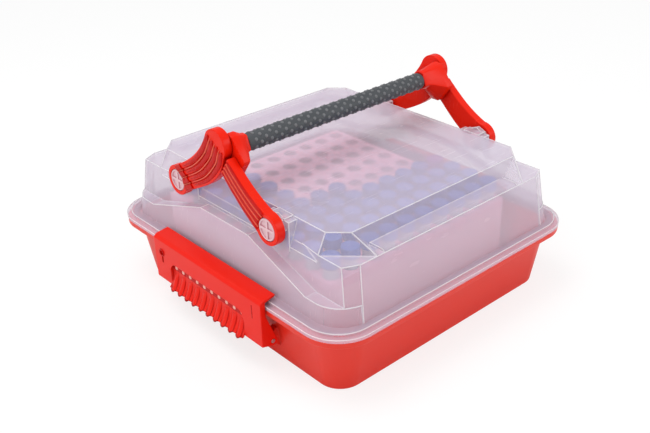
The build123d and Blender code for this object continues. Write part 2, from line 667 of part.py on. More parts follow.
with BuildPart() as front_arm_right:
    with BuildSketch(inner_face):
        make_face(arm_outline(FRONT_UPPER, FRONT_LOWER).edges())
        with Locations(front_pivot):
            Circle(EYE_RADIUS)
        # room for the round head of the rear arm
        with Locations((0, KNOB_Z)):
            Circle(KNOB_RADIUS + 2 * FIT_GAP, mode=Mode.SUBTRACT)
    extrude(amount=ARM_THICK)
    grooves(FRONT_UPPER, FRONT_LOWER, (0.25, 0.5, 0.75), 0.05, outer_face)
    eye_cuts(front_pivot, outer_face)
    square_key(KEY_SPOT, inner_face, KEY_HALF, -KEY_LENGTH, Mode.ADD)

with BuildPart() as front_arm_left:
    add(mirror(front_arm_right.part, about=Plane.YZ, mode=Mode.PRIVATE))


def grip_end(sleeve_end):
    """Six-sided end fitting with the socket of the grip; the arm's key enters it."""
    with BuildPart() as fitting:
        with BuildSketch(Plane.YZ.offset(END_INNER_X)):
            with BuildLine():
                Polyline(*[(y, KNOB_Z - 4 + z) for y, z in END_FITTING], close=True)
            make_face()
        extrude(amount=END_THICK)
        with BuildSketch(Plane.YZ.offset(sleeve_end)):
            with Locations((GRIP_Y, GRIP_Z)):
                Circle(SOCKET_RADIUS)
        extrude(amount=END_INNER_X - sleeve_end)
        with BuildSketch(Plane.YZ.offset(sleeve_end)):
            with Locations((GRIP_Y, GRIP_Z)):
                RegularPolygon(CORE_RADIUS, CORE_SIDES)
        extrude(amount=CORE_SEAT, mode=Mode.SUBTRACT)
        square_key(KEY_SPOT, inner_face, KEY_HALF + PIN_GAP, -(KEY_LENGTH + FIT_GAP), Mode.SUBTRACT)
    return fitting.part


with BuildPart() as grip_end_right:
    add(grip_end(GRIP_HALF + GRIP_SHIFT))

with BuildPart() as grip_end_left:
    add(mirror(grip_end(GRIP_HALF - GRIP_SHIFT), about=Plane.YZ, mode=Mode.PRIVATE))

with BuildPart() as grip_core:
    with BuildSketch(Plane.YZ.offset(GRIP_SHIFT - GRIP_HALF - CORE_SEAT)):
        with Locations((GRIP_Y, GRIP_Z)):
            RegularPolygon(CORE_RADIUS, CORE_SIDES)
            RegularPolygon(CORE_RADIUS - CORE_WALL, CORE_SIDES, mode=Mode.SUBTRACT)
    extrude(amount=2 * (GRIP_HALF + CORE_SEAT))

with BuildPart() as grip_sleeve:
    with BuildSketch(Plane.YZ.offset(GRIP_SHIFT - GRIP_HALF)):
        with Locations((GRIP_Y, GRIP_Z)):
            RegularPolygon(GRIP_RADIUS, 2 * CORE_SIDES)
            RegularPolygon(CORE_RADIUS, CORE_SIDES, mode=Mode.SUBTRACT)
    extrude(amount=2 * GRIP_HALF)

# the rear arms stand clear of the end fittings, which turn past their heads
rear_inner_x = ARM_INNER_X + FIT_GAP
rear_inner_face = Plane.YZ.offset(rear_inner_x)

with BuildPart() as rear_arm_right:
    with BuildSketch(rear_inner_face):
        make_face(arm_outline(REAR_UPPER, REAR_LOWER).edges())
        with Locations(rear_pivot):
            Circle(EYE_RADIUS)
        with Locations((0, KNOB_Z)):
            Circle(KNOB_RADIUS)
    extrude(amount=ARM_THICK - FIT_GAP)
    grooves(REAR_UPPER, REAR_LOWER, (0.25, 0.5, 0.75), 0.05, outer_face)
    eye_cuts(rear_pivot, outer_face)
    square_key((BAR_Y, BAR_Z), rear_inner_face, KEY_HALF + PIN_GAP, KEY_LENGTH + FIT_GAP, Mode.SUBTRACT)

with BuildPart() as rear_arm_left:
    add(mirror(rear_arm_right.part, about=Plane.YZ, mode=Mode.PRIVATE))

# bar between the rear arms, with a square key at each end
with BuildPart() as rear_bar:
    with BuildSketch(Plane.YZ):
        with Locations((BAR_Y, BAR_Z)):
            Circle(BAR_RADIUS)
    extrude(amount=rear_inner_x, both=True)
    with BuildSketch(Plane.YZ):
        with Locations((BAR_Y, BAR_Z)):
            Rectangle(2 * KEY_HALF, 2 * KEY_HALF)
    extrude(amount=rear_inner_x + KEY_LENGTH, both=True)

save(front_arm_right.part, "front_arm_right")
save(front_arm_left.part, "front_arm_left")
save(grip_end_right.part, "grip_end_right")
save(grip_end_left.part, "grip_end_left")
save(grip_core.part, "grip_core")
save(grip_sleeve.part, "grip_sleeve")
save(rear_arm_right.part, "rear_arm_right")
save(rear_arm_left.part, "rear_arm_left")
save(rear_bar.part, "rear_bar")

# ============================================================ racks and tubes
rack_half_x = (COLUMNS - 1) / 2 * TUBE_PITCH + RACK_MARGIN
rack_x = rack_half_x + RACK_MIDDLE_GAP

for side_x, end_name in ((-1, "left"), (1, "right")):
    for side_y, row_name, pitch in ((-1, "front", TUBE_PITCH), (1, "back", BACK_ROW_PITCH)):
        half_y = (ROWS - 1) / 2 * pitch + RACK_MARGIN
        centre = (side_x * rack_x, side_y * (half_y + RACK_MIDDLE_GAP))
        rim_z = RACK_TOP_Z - RACK_RIM
        with BuildPart() as rack_plate:
            with BuildSketch(Plane.XY.offset(rim_z)):
                with Locations(centre):
                    Rectangle(2 * rack_half_x, 2 * half_y)
            extrude(amount=RACK_RIM)
            with BuildSketch(Plane.XY.offset(rim_z)):
                with Locations(centre):
                    Rectangle(2 * (rack_half_x - RACK_WALL), 2 * (half_y - RACK_WALL))
            extrude(amount=RACK_RIM - RACK_PLATE, mode=Mode.SUBTRACT)
            with BuildSketch(Plane.XY.offset(RACK_TOP_Z)):
                with Locations(centre):
                    with GridLocations(TUBE_PITCH, pitch, COLUMNS, ROWS):
                        RegularPolygon(HOLE_RADIUS, TUBE_SIDES)
            extrude(amount=-RACK_PLATE, mode=Mode.SUBTRACT)
        save(rack_plate.part, f"rack_plate_{row_name}_{end_name}")

        with BuildPart() as rack_stand:
            with BuildSketch(Plane.XY.offset(TRAY_WALL)):
                with Locations(centre):
                    Rectangle(2 * rack_half_x, 2 * half_y)
                    Rectangle(2 * (rack_half_x - RACK_WALL), 2 * (half_y - RACK_WALL), mode=Mode.SUBTRACT)
            extrude(amount=rim_z - TRAY_WALL)
            with BuildSketch(Plane.XY.offset(RACK_FLOOR_Z - RACK_FLOOR)):
                with Locations(centre):
                    Rectangle(2 * rack_half_x, 2 * half_y)
            extrude(amount=RACK_FLOOR)
        save(rack_stand.part, f"rack_stand_{row_name}_{end_name}")


def hole_centre(side_x, side_y, column, row):
    """Place of one rack hole; columns and rows count from the box's middle."""
    pitch = TUBE_PITCH if side_y < 0 else BACK_ROW_PITCH
    first = RACK_MIDDLE_GAP + RACK_MARGIN
    return (side_x * (first + column * TUBE_PITCH), side_y * (first + row * pitch))


# Which holes hold a tube: the rack, its columns and its rows.
FILLED = {
    "front_left": (-1, -1, range(COLUMNS), range(ROWS)),
    "front_right": (1, -1, range(COLUMNS), range(1, ROWS)),
    "back_left": (-1, 1, range(2, COLUMNS), range(ROWS)),
}
VIOLET_CAP = ("front_right", COLUMNS - 1, 1)
cap_top_z = RACK_FLOOR_Z + TUBE_LENGTH
cap_foot_z = cap_top_z - CAP_HEIGHT
tip_inset = (TUBE_RADIUS - TUBE_TIP_RADIUS) * cos(radians(180 / TUBE_SIDES))


def tube_solid():
    """One tube about the Z axis, up to its cap: a cone below a straight wall."""
    with BuildPart() as tube:
        with BuildSketch(Plane.XY.offset(RACK_FLOOR_Z)):
            RegularPolygon(TUBE_RADIUS, TUBE_SIDES)
        extrude(amount=cap_foot_z - RACK_FLOOR_Z)
        foot = tube.faces().sort_by(Axis.Z)[0]
        chamfer(foot.edges(), tip_inset, TUBE_CONE, reference=foot)
    return tube.part


def cap_solid():
    """One screw cap about the Z axis; its thread is closed, so it is solid."""
    with BuildPart() as cap:
        with BuildSketch(Plane.XY.offset(cap_foot_z)):
            RegularPolygon(CAP_RADIUS, CAP_SIDES)
        extrude(amount=CAP_HEIGHT)
    return cap.part


one_tube = tube_solid()
one_cap = cap_solid()
for rack_name, (side_x, side_y, columns, rows) in FILLED.items():
    holes = [(column, row) for column in columns for row in rows]
    tube_spots = [hole_centre(side_x, side_y, *hole) for hole in holes]
    cap_spots = [
        hole_centre(side_x, side_y, *hole) for hole in holes if (rack_name, *hole) != VIOLET_CAP
    ]
    tubes = Compound([one_tube.moved(Location((x, y, 0))) for x, y in tube_spots])
    caps = Compound([one_cap.moved(Location((x, y, 0))) for x, y in cap_spots])
    save(tubes, f"tubes_{rack_name}")
    save(caps, f"caps_{rack_name}")

violet_x, violet_y = hole_centre(1, -1, *VIOLET_CAP[1:])
with BuildPart() as cap_violet:
    add(one_cap.moved(Location((violet_x, violet_y, 0))))
save(cap_violet.part, "cap_violet")
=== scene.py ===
import math

import bmesh
import bpy
from mathutils import Matrix, Vector
from mathutils.bvhtree import BVHTree


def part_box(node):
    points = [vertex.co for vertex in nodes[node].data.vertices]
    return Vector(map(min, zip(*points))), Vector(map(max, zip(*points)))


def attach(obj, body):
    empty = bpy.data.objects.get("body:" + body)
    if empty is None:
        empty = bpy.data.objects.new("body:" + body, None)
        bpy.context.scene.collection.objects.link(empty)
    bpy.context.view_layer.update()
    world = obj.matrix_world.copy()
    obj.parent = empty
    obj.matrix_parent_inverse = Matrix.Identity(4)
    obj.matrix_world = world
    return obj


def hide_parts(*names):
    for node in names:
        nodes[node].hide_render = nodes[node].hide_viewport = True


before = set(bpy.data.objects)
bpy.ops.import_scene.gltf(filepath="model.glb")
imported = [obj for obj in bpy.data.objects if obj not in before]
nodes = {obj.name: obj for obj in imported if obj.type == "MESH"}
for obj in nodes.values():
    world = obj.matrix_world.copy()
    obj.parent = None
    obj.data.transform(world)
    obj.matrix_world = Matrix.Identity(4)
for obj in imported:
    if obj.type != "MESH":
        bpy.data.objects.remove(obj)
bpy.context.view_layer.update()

# ------------------------------------------------------------------ base tray
# The tray is injection-moulded from glossy red polypropylene, with a flared
# wall, a turned-down lip and four hinge lugs for the latches.


def new_material(name):
    """Empty node material with a Principled shader joined to its output."""
    material = bpy.data.materials.new(name)
    material.use_nodes = True
    tree = material.node_tree
    tree.nodes.clear()
    shader = tree.nodes.new("ShaderNodeBsdfPrincipled")
    output = tree.nodes.new("ShaderNodeOutputMaterial")
    tree.links.new(shader.outputs["BSDF"], output.inputs["Surface"])
    return material, tree, shader


def put(tree, socket, value):
    """Feed an input from a number, a colour or another node's output."""
    if isinstance(value, bpy.types.NodeSocket):
        tree.links.new(value, socket)
    else:
        socket.default_value = value


def math_node(tree, operation, *values):
    """Result of a sum on numbers and sockets."""
    node = tree.nodes.new("ShaderNodeMath")
    node.operation = operation
    for socket, value in zip(node.inputs, values):
        put(tree, socket, value)
    return node.outputs["Value"]


def map_range(tree, value, source, target):
    """A value carried over from one range of numbers to another."""
    node = tree.nodes.new("ShaderNodeMapRange")
    for name, level in zip(("From Min", "From Max", "To Min", "To Max"), (*source, *target)):
        node.inputs[name].default_value = level
    put(tree, node.inputs["Value"], value)
    return node.outputs["Result"]


def mix_colour(tree, factor, first, second):
    """Two colours mixed by a factor."""
    node = tree.nodes.new("ShaderNodeMix")
    node.data_type = "RGBA"
    for name, value in (("Factor", factor), ("A", first), ("B", second)):
        put(tree, node.inputs[name], value)
    return node.outputs["Result"]


def noise(tree, place, scale, detail, distortion=0.0):
    """Noise over a place, from 0 to 1."""
    node = tree.nodes.new("ShaderNodeTexNoise")
    for name, value in (
        ("Vector", place), ("Scale", scale), ("Detail", detail), ("Distortion", distortion)
    ):
        put(tree, node.inputs[name], value)
    return node.outputs["Fac"]


GRAIN_SCALE = 900.0
FLOW_SCALE = 14.0
FLOW_BEND = 0.6
FLOW_TINT = 0.22
FLOW_ROUGH = 0.08
SCUFF_TURN = (0.5, 0.3, 0.9)
SCUFF_STRETCH = (24.0, 380.0, 60.0)
SCUFF_SHARES = (0.62, 0.78)
SCUFF_ROUGH = 0.35


def moulded_surface_group():
    """Colour, roughness and height of a moulded plastic skin, with faint flow
    marks, fine pearl grain, rubbed patches and a few scuffs."""
    group = bpy.data.node_groups.new("moulded_surface", "ShaderNodeTree")
    for name, way, kind in (
        ("Colour", "INPUT", "Color"), ("Worn Colour", "INPUT", "Color"), ("Wear", "INPUT", "Float"),
        ("Roughness", "INPUT", "Float"), ("Grain", "INPUT", "Float"), ("Colour", "OUTPUT", "Color"),
        ("Roughness", "OUTPUT", "Float"), ("Height", "OUTPUT", "Float"),
    ):
        group.interface.new_socket(name, in_out=way, socket_type="NodeSocket" + kind)
    given = group.nodes.new("NodeGroupInput").outputs
    outlet = group.nodes.new("NodeGroupOutput").inputs
    place = group.nodes.new("ShaderNodeTexCoord").outputs["Object"]
    stretch = group.nodes.new("ShaderNodeMapping")
    for name, value in (("Vector", place), ("Rotation", SCUFF_TURN), ("Scale", SCUFF_STRETCH)):
        put(group, stretch.inputs[name], value)
    flow = noise(group, place, FLOW_SCALE, 3.0, FLOW_BEND)
    scratch = noise(group, stretch.outputs["Vector"], 1.0, 4.0)
    scuffs = math_node(
        group, "MULTIPLY", map_range(group, scratch, SCUFF_SHARES, (0, 1)), given["Wear"]
    )
    tint = math_node(group, "ADD", scuffs, map_range(group, flow, (0, 1), (0, FLOW_TINT)))
    put(group, outlet["Colour"], mix_colour(group, tint, given["Colour"], given["Worn Colour"]))
    rough = math_node(group, "MULTIPLY_ADD", scuffs, SCUFF_ROUGH, given["Roughness"])
    put(group, outlet["Roughness"], math_node(group, "MULTIPLY_ADD", flow, FLOW_ROUGH, rough))
    grain = math_node(group, "MULTIPLY", noise(group, place, GRAIN_SCALE, 2.0), given["Grain"])
    put(group, outlet["Height"], math_node(group, "SUBTRACT", grain, scuffs))
    return group


moulded_surface = moulded_surface_group()
BUMP_STRENGTH = 0.25
BUMP_HEIGHT = 0.0002
SHADE_SAMPLES = 6
# Reach of the ambient occlusion that lays painted shade into corners.
PAINTED_SHADE_REACH = 0.007


def plastic(name, colour, worn, roughness, wear=0.2, grain=0.3, edge=0.0008, painted_shade=None):
    """Moulded plastic whose edges are rounded by a radius in the shading; where a painted shade
    colour is given, ambient occlusion mixes it into the corners and creases as painted shade."""
    material, tree, shader = new_material(name)
    skin = tree.nodes.new("ShaderNodeGroup")
    skin.node_tree = moulded_surface
    for socket, value in (
        ("Colour", (*colour, 1)), ("Worn Colour", (*worn, 1)), ("Roughness", roughness),
        ("Wear", wear), ("Grain", grain),
    ):
        skin.inputs[socket].default_value = value
    shown = skin.outputs["Colour"]
    # Painted shade: a darker colour mixed in where ambient occlusion finds corners and creases.
    if painted_shade:
        shade_occlusion = tree.nodes.new("ShaderNodeAmbientOcclusion")
        shade_occlusion.samples = SHADE_SAMPLES
        shade_occlusion.inputs["Distance"].default_value = PAINTED_SHADE_REACH
        shown = mix_colour(tree, shade_occlusion.outputs["AO"], (*painted_shade, 1), shown)
    round_edge = tree.nodes.new("ShaderNodeBevel")
    round_edge.samples = SHADE_SAMPLES
    round_edge.inputs["Radius"].default_value = edge
    bump = tree.nodes.new("ShaderNodeBump")
    for socket, value in (
        ("Strength", BUMP_STRENGTH), ("Distance", BUMP_HEIGHT), ("Height", skin.outputs["Height"]),
        ("Normal", round_edge.outputs["Normal"]),
    ):
        put(tree, bump.inputs[socket], value)
    put(tree, shader.inputs["Base Color"], shown)
    put(tree, shader.inputs["Roughness"], skin.outputs["Roughness"])
    put(tree, shader.inputs["Normal"], bump.outputs["Normal"])
    return material, tree, shader


def pass_light(tree, shader, cover, share):
    """Let soft and direct light through a thin plastic: its cover, a value or
    a socket, drops by a share for all but the rays that see it."""
    path = tree.nodes.new("ShaderNodeLightPath").outputs
    inward = math_node(tree, "MAXIMUM", path["Is Shadow Ray"], path["Is Diffuse Ray"])
    keep = math_node(tree, "MULTIPLY_ADD", inward, -share, 1.0)
    put(tree, shader.inputs["Alpha"], math_node(tree, "MULTIPLY", cover, keep))


def dress(node, material):
    """Give a carried-over piece its finish."""
    nodes[node].data.materials.clear()
    nodes[node].data.materials.append(material)


WELD = 1e-6
CAD_WELD = 2e-6
FLAT_TURN = 0.6
SHARP_TURN = 24
SOFT_TURN = 50


def finish_mesh(name, mesh, material, slot, body, *replaced, angle=35):
    """Turn a bmesh into a named piece that rides, with its finish set."""
    bmesh.ops.remove_doubles(mesh, verts=mesh.verts, dist=WELD)
    bmesh.ops.recalc_face_normals(mesh, faces=mesh.faces)
    data = bpy.data.meshes.new(name)
    mesh.to_mesh(data)
    mesh.free()
    data.materials.append(material)
    piece = bpy.data.objects.new(name, data)
    bpy.context.scene.collection.objects.link(piece)
    for face in data.polygons:
        face.use_smooth = True
    data.set_sharp_from_angle(angle=math.radians(angle))
    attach(piece, body)
    if replaced:
        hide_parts(*replaced)
    return piece


def clean_copy(node):
    """A node's mesh with its points joined and its flat faces whole."""
    mesh = bmesh.new()
    mesh.from_mesh(nodes[node].data)
    bmesh.ops.remove_doubles(mesh, verts=mesh.verts, dist=CAD_WELD)
    bmesh.ops.dissolve_limit(
        mesh, angle_limit=math.radians(FLAT_TURN), verts=mesh.verts, edges=mesh.edges
    )
    return mesh


def soften(node, material, slot, body, width, skip=None, shape=None):
    """Stand a copy in for a moulded piece, its sharp edges rounded as a
    mould rounds them, but for those that skip picks; shape works on it first."""
    mesh = clean_copy(node)
    if shape:
        shape(mesh)
    sharp = [
        edge for edge in mesh.edges
        if len(edge.link_faces) == 2 and edge.calc_face_angle(0) > math.radians(SHARP_TURN)
        and not (skip and skip(edge))
    ]
    bmesh.ops.bevel(
        mesh, geom=sharp, offset=width, segments=2, profile=0.5, affect="EDGES",
        clamp_overlap=False, harden_normals=False,
    )
    piece = finish_mesh(f"{node}_moulded", mesh, material, slot, body, node, angle=SOFT_TURN)
    flat = piece.modifiers.new("flat_faces", "WEIGHTED_NORMAL")
    flat.keep_sharp = True


TRAY_RED = (0.80, 0.028, 0.013)
TRAY_RED_WORN = (0.84, 0.075, 0.040)
TRAY_ROUND = 0.0009
tray_red, _, tray_shader = plastic("tray_red", TRAY_RED, TRAY_RED_WORN, 0.30, edge=0.0012)
tray_shader.inputs["Specular IOR Level"].default_value = 0.4
tray_shader.inputs["Subsurface Weight"].default_value = 0.12
tray_shader.inputs["Subsurface Radius"].default_value = (0.006, 0.001, 0.0008)
soften("base_tray", tray_red, "red_plastic", "base", TRAY_ROUND)

# ----------------------------------------------------------------- latch pins
# Short drawn steel pins on which the latches swing, pressed into the lugs of
# the tray.
STEEL = (0.56, 0.56, 0.57)
STEEL_WORN = (0.40, 0.40, 0.41)
steel, _, steel_shader = plastic("drawn_steel", STEEL, STEEL_WORN, 0.32, wear=0.3, grain=0.2)
steel_shader.inputs["Metallic"].default_value = 1.0
for side in ("left", "right"):
    dress(f"latch_pins_{side}", steel)

# ---------------------------------------------------------------------- racks
# Four racks of thin pink polypropylene stand in the tray, each a plate with
# round holes on a stand that has walls and a floor.
HOLE_RADIUS = 0.0090
HOLE_ROUND = 0.0007
RACK_PLATE = 0.003
RACK_RIM_WALL = 0.002
RACK_GRID = 5
TUBE_PITCH = 0.029
BACK_ROW_PITCH = 0.033
CELL_POINTS = 8
RACK_LIGHT_SHARE = 0.95
RACK_PINK = (0.90, 0.40, 0.55)
RACK_PINK_WORN = (0.92, 0.50, 0.62)
# Painted light: the stands are a paler copy of the racks' pink, to lighten their shaded insides
# seen through the holes.
STAND_PINK_PAINTED_LIGHT = (0.96, 0.52, 0.64)
STAND_PINK_PAINTED_LIGHT_WORN = (0.97, 0.60, 0.70)


def cell_outline(low, high):
    """Points round a rectangle, the same number on each side."""
    (x0, y0), (x1, y1) = low, high
    corners = ((x0, y0), (x1, y0), (x1, y1), (x0, y1))
    points = []
    for index in range(4):
        start, stop = corners[index], corners[(index + 1) % 4]
        for step in range(CELL_POINTS):
            share = step / CELL_POINTS
            points.append(tuple(a + (b - a) * share for a, b in zip(start, stop)))
    return points


def add_box(mesh, low, high):
    """Closed box between two corners."""
    corners = [
        mesh.verts.new((x, y, z)) for x in (low[0], high[0]) for y in (low[1], high[1])
        for z in (low[2], high[2])
    ]
    sides = ((0, 1, 3, 2), (4, 6, 7, 5), (0, 4, 5, 1), (2, 3, 7, 6), (0, 2, 6, 4), (1, 5, 7, 3))
    for side in sides:
        mesh.faces.new([corners[i] for i in side])


def join_rings(mesh, rings, closed=True):
    """Skin from ring to ring, and over both ends where it is closed."""
    count = len(rings[0])
    for low, high in zip(rings, rings[1:]):
        for k in range(count):
            n = (k + 1) % count
            mesh.faces.new((low[k], low[n], high[n], high[k]))
    if closed:
        mesh.faces.new(list(reversed(rings[0])))
        mesh.faces.new(rings[-1])


def rack_plate(node, row_pitch):
    """Holed plate with its turned-down rim, in the place of the plain one."""
    low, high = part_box(node)
    middle = (low + high) / 2
    columns = [middle.x + (i - (RACK_GRID - 1) / 2) * TUBE_PITCH for i in range(RACK_GRID)]
    rows = [middle.y + (i - (RACK_GRID - 1) / 2) * row_pitch for i in range(RACK_GRID)]
    x_cuts = [low.x] + [(a + b) / 2 for a, b in zip(columns, columns[1:])] + [high.x]
    y_cuts = [low.y] + [(a + b) / 2 for a, b in zip(rows, rows[1:])] + [high.y]
    top, under = high.z, high.z - RACK_PLATE
    hole = ((HOLE_RADIUS + HOLE_ROUND, top), (HOLE_RADIUS, top - HOLE_ROUND), (HOLE_RADIUS, under))
    mesh = bmesh.new()
    for i, x in enumerate(columns):
        for j, y in enumerate(rows):
            outline = cell_outline((x_cuts[i], y_cuts[j]), (x_cuts[i + 1], y_cuts[j + 1]))
            angles = [math.atan2(py - y, px - x) for px, py in outline]
            rings = [
                [
                    mesh.verts.new((x + radius * math.cos(a), y + radius * math.sin(a), z))
                    for a in angles
                ]
                for radius, z in hole
            ]
            above, below = (
                [mesh.verts.new((px, py, z)) for px, py in outline] for z in (top, under)
            )
            join_rings(mesh, [above, *rings, below], closed=False)
    bmesh.ops.remove_doubles(mesh, verts=mesh.verts, dist=WELD)
    bmesh.ops.bridge_loops(mesh, edges=[edge for edge in mesh.edges if edge.is_boundary])
    wall = RACK_RIM_WALL
    add_box(mesh, (low.x, low.y, low.z), (high.x, low.y + wall, under))
    add_box(mesh, (low.x, high.y - wall, low.z), (high.x, high.y, under))
    add_box(mesh, (low.x, low.y + wall, low.z), (low.x + wall, high.y - wall, under))
    add_box(mesh, (high.x - wall, low.y + wall, low.z), (high.x, high.y - wall, under))
    finish_mesh(node + "_holed", mesh, rack_tinted, "rack_plastic", "base", node)


rack_tinted, rack_tree, rack_shader = plastic(
    "rack_tinted", RACK_PINK, RACK_PINK_WORN, 0.38, wear=0.1, edge=0.0006
)
pass_light(rack_tree, rack_shader, 1.0, RACK_LIGHT_SHARE)
rack_shader.inputs["Subsurface Weight"].default_value = 0.3
rack_shader.inputs["Subsurface Radius"].default_value = (0.008, 0.003, 0.003)
# Paler pink for the stands, as painted light inside the holes.
stand_tinted_painted_light, stand_tree, stand_shader = plastic(
    "rack_stand_tinted", STAND_PINK_PAINTED_LIGHT, STAND_PINK_PAINTED_LIGHT_WORN, 0.5, wear=0.1, edge=0.0006
)
pass_light(stand_tree, stand_shader, 1.0, RACK_LIGHT_SHARE)
for row, pitch in (("front", TUBE_PITCH), ("back", BACK_ROW_PITCH)):
    for end in ("left", "right"):
        rack_plate(f"rack_plate_{row}_{end}", pitch)
        dress(f"rack_stand_{row}_{end}", stand_tinted_painted_light)

# ---------------------------------------------------------------------- tubes
# Conical tubes of clear polypropylene, 15 mL, with a straight wall, a collar
# under the cap and a pointed foot. They stand in the rack holes.
TUBE_SIDES = 24
TUBE_RADIUS = 0.0082
TUBE_COLLAR = 0.0094
FOOT_RADIUS = 0.0016
FOOT_HEIGHT = 0.001
CONE_HEIGHT = 0.021
CONE_BEND = 0.002
COLLAR_DROP = 0.0035
COLLAR_HEIGHT = 0.002
COLLAR_SLOPE = 0.0005
CAP_LAP = 0.002
TUBE_TINT = (0.62, 0.66, 0.76)
TUBE_TINT_WORN = (0.70, 0.72, 0.78)
TUBE_COVER = 0.7
RACK_MARGIN = 0.0142
MIDDLE_GAP = 0.0003


def hole_places(row, end, columns, rows):
    """Centres of the holes that hold tubes; both counts start at the middle."""
    side_x = -1 if end == "left" else 1
    side_y = -1 if row == "front" else 1
    pitch = TUBE_PITCH if row == "front" else BACK_ROW_PITCH
    first = RACK_MARGIN + MIDDLE_GAP
    return [
        (side_x * (first + i * TUBE_PITCH), side_y * (first + j * pitch))
        for i in columns for j in rows
    ]


def turn(mesh, centre, profile, sides, ripple=0.0, ripple_rings=()):
    """Turned body about a vertical axis; chosen rings are fluted by ripple."""
    rings = []
    for index, (radius, z) in enumerate(profile):
        ring = []
        for k in range(sides):
            flute = ripple * (k % 2) if index in ripple_rings else 0.0
            angle = 2 * math.pi * k / sides
            ring.append(mesh.verts.new((
                centre[0] + (radius - flute) * math.cos(angle),
                centre[1] + (radius - flute) * math.sin(angle),
                z,
            )))
        rings.append(ring)
    join_rings(mesh, rings)


LOADED = {
    "front_left": hole_places("front", "left", range(5), range(5)),
    "front_right": hole_places("front", "right", range(5), range(1, 5)),
    "back_left": hole_places("back", "left", range(2, 5), range(5)),
}
tube_clear, _, tube_shader = plastic(
    "tube_clear", TUBE_TINT, TUBE_TINT_WORN, 0.20, wear=0.1, edge=0.0004
)
tube_shader.inputs["Alpha"].default_value = TUBE_COVER
for rack, places in LOADED.items():
    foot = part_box(f"tubes_{rack}")[0].z
    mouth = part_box(f"caps_{rack}")[0].z + CAP_LAP
    collar_top = mouth - COLLAR_DROP
    collar_foot = collar_top - COLLAR_HEIGHT
    profile = (
        (FOOT_RADIUS, foot), (FOOT_RADIUS * 1.5, foot + FOOT_HEIGHT),
        (TUBE_RADIUS * 0.96, foot + CONE_HEIGHT), (TUBE_RADIUS, foot + CONE_HEIGHT + CONE_BEND),
        (TUBE_RADIUS, collar_foot - COLLAR_SLOPE), (TUBE_COLLAR, collar_foot),
        (TUBE_COLLAR, collar_top), (TUBE_RADIUS, collar_top + COLLAR_SLOPE), (TUBE_RADIUS, mouth),
    )
    mesh = bmesh.new()
    for place in places:
        turn(mesh, place, profile, TUBE_SIDES)
    finish_mesh(f"tubes_{rack}_clear", mesh, tube_clear, "tube_plastic", "base", f"tubes_{rack}")

# ----------------------------------------------------------------------- caps
# Screw caps moulded in blue, with a fluted grip and a rounded top edge. One
# cap in the front right rack is violet.
CAP_FLUTES = 24
CAP_RADIUS = 0.01095
FLUTE_DEPTH = 0.00055
CAP_BLUE = (0.030, 0.125, 0.50)
CAP_BLUE_WORN = (0.10, 0.20, 0.58)
CAP_VIOLET = (0.26, 0.07, 0.42)
CAP_VIOLET_WORN = (0.34, 0.14, 0.48)
# Distance in from the cap's radius, and up from its foot or down from its top.
CAP_FOOT_LINE = ((0.0004, 0), (0, 0.0008), (0, 0.0016))
CAP_TOP_LINE = (
    (0, 0.0022), (0.0002, 0.0012), (0.00042, 0.00036), (0.0012, 0), (0.001971, 0),
    (0.00219, 0.0004),
)


def cap_profile(foot, top):
    """Outline of a cap from its foot, up the grip and over the round edge."""
    return (
        *((CAP_RADIUS - inset, foot + rise) for inset, rise in CAP_FOOT_LINE),
        *((CAP_RADIUS - inset, top - drop) for inset, drop in CAP_TOP_LINE),
    )


def caps(name, places, node, material, slot):
    """All caps of one colour in a rack."""
    low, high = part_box(node)
    mesh = bmesh.new()
    for place in places:
        turn(mesh, place, cap_profile(low.z, high.z), 2 * CAP_FLUTES, FLUTE_DEPTH, (2, 3))
    finish_mesh(name, mesh, material, slot, "base", node, angle=50)


cap_blue, _, _ = plastic("cap_blue", CAP_BLUE, CAP_BLUE_WORN, 0.35, wear=0.15)
cap_violet, _, _ = plastic("cap_violet", CAP_VIOLET, CAP_VIOLET_WORN, 0.35, wear=0.15)
violet_place = hole_places("front", "right", (4,), (1,))[0]
for rack, places in LOADED.items():
    blue_places = [place for place in places if place != violet_place]
    caps(f"caps_{rack}_fluted", blue_places, f"caps_{rack}", cap_blue, "cap_blue")
caps("cap_violet_fluted", [violet_place], "cap_violet", cap_violet, "cap_violet")

# ------------------------------------------------------------------ lid shell
# The lid is one thin moulding of milky, see-through polypropylene that lies on the tray's lip.
# Edge-on it looks whiter, and whiter beads along its rounded corners are painted highlights.
LID_MILK = (0.76, 0.665, 0.80)
LID_MILK_WORN = (0.85, 0.79, 0.88)
LID_COVER = 0.27
LID_GRAZING_COVER = 0.62
LID_LIGHT_SHARE = 0.75
LID_ROUGHNESS = 0.22
LID_BLEND = 0.35
LID_BEND = 1.49
# Painted highlight: the whiter, less see-through colour of the beads along the lid's corners.
EDGE_WHITE_PAINTED_HIGHLIGHT = (0.93, 0.90, 0.94)
EDGE_WHITE_PAINTED_HIGHLIGHT_WORN = (0.95, 0.93, 0.96)
EDGE_HIGHLIGHT_COVER = 0.55
EDGE_HIGHLIGHT_GRAZING_COVER = 0.85
BEAD_RADIUS = 0.00060
BEAD_SINK = 0.00030
BEAD_SIDES = 6
BEAD_LEAST = 0.0010
BEAD_LEAST_TURN = 14
BEAD_FLOOR_Z = 0.0815
BEAD_REACH_Y = 0.21398


def milky(name, colour, worn, cover, grazing_cover):
    """Thin see-through plastic that turns milky at a grazing angle."""
    material, tree, shader = plastic(name, colour, worn, LID_ROUGHNESS, wear=0.15, edge=0.0014)
    glance = tree.nodes.new("ShaderNodeLayerWeight")
    glance.inputs["Blend"].default_value = LID_BLEND
    veil = map_range(tree, glance.outputs["Facing"], (0, 1), (cover, grazing_cover))
    pass_light(tree, shader, veil, LID_LIGHT_SHARE)
    shader.inputs["IOR"].default_value = LID_BEND
    return material


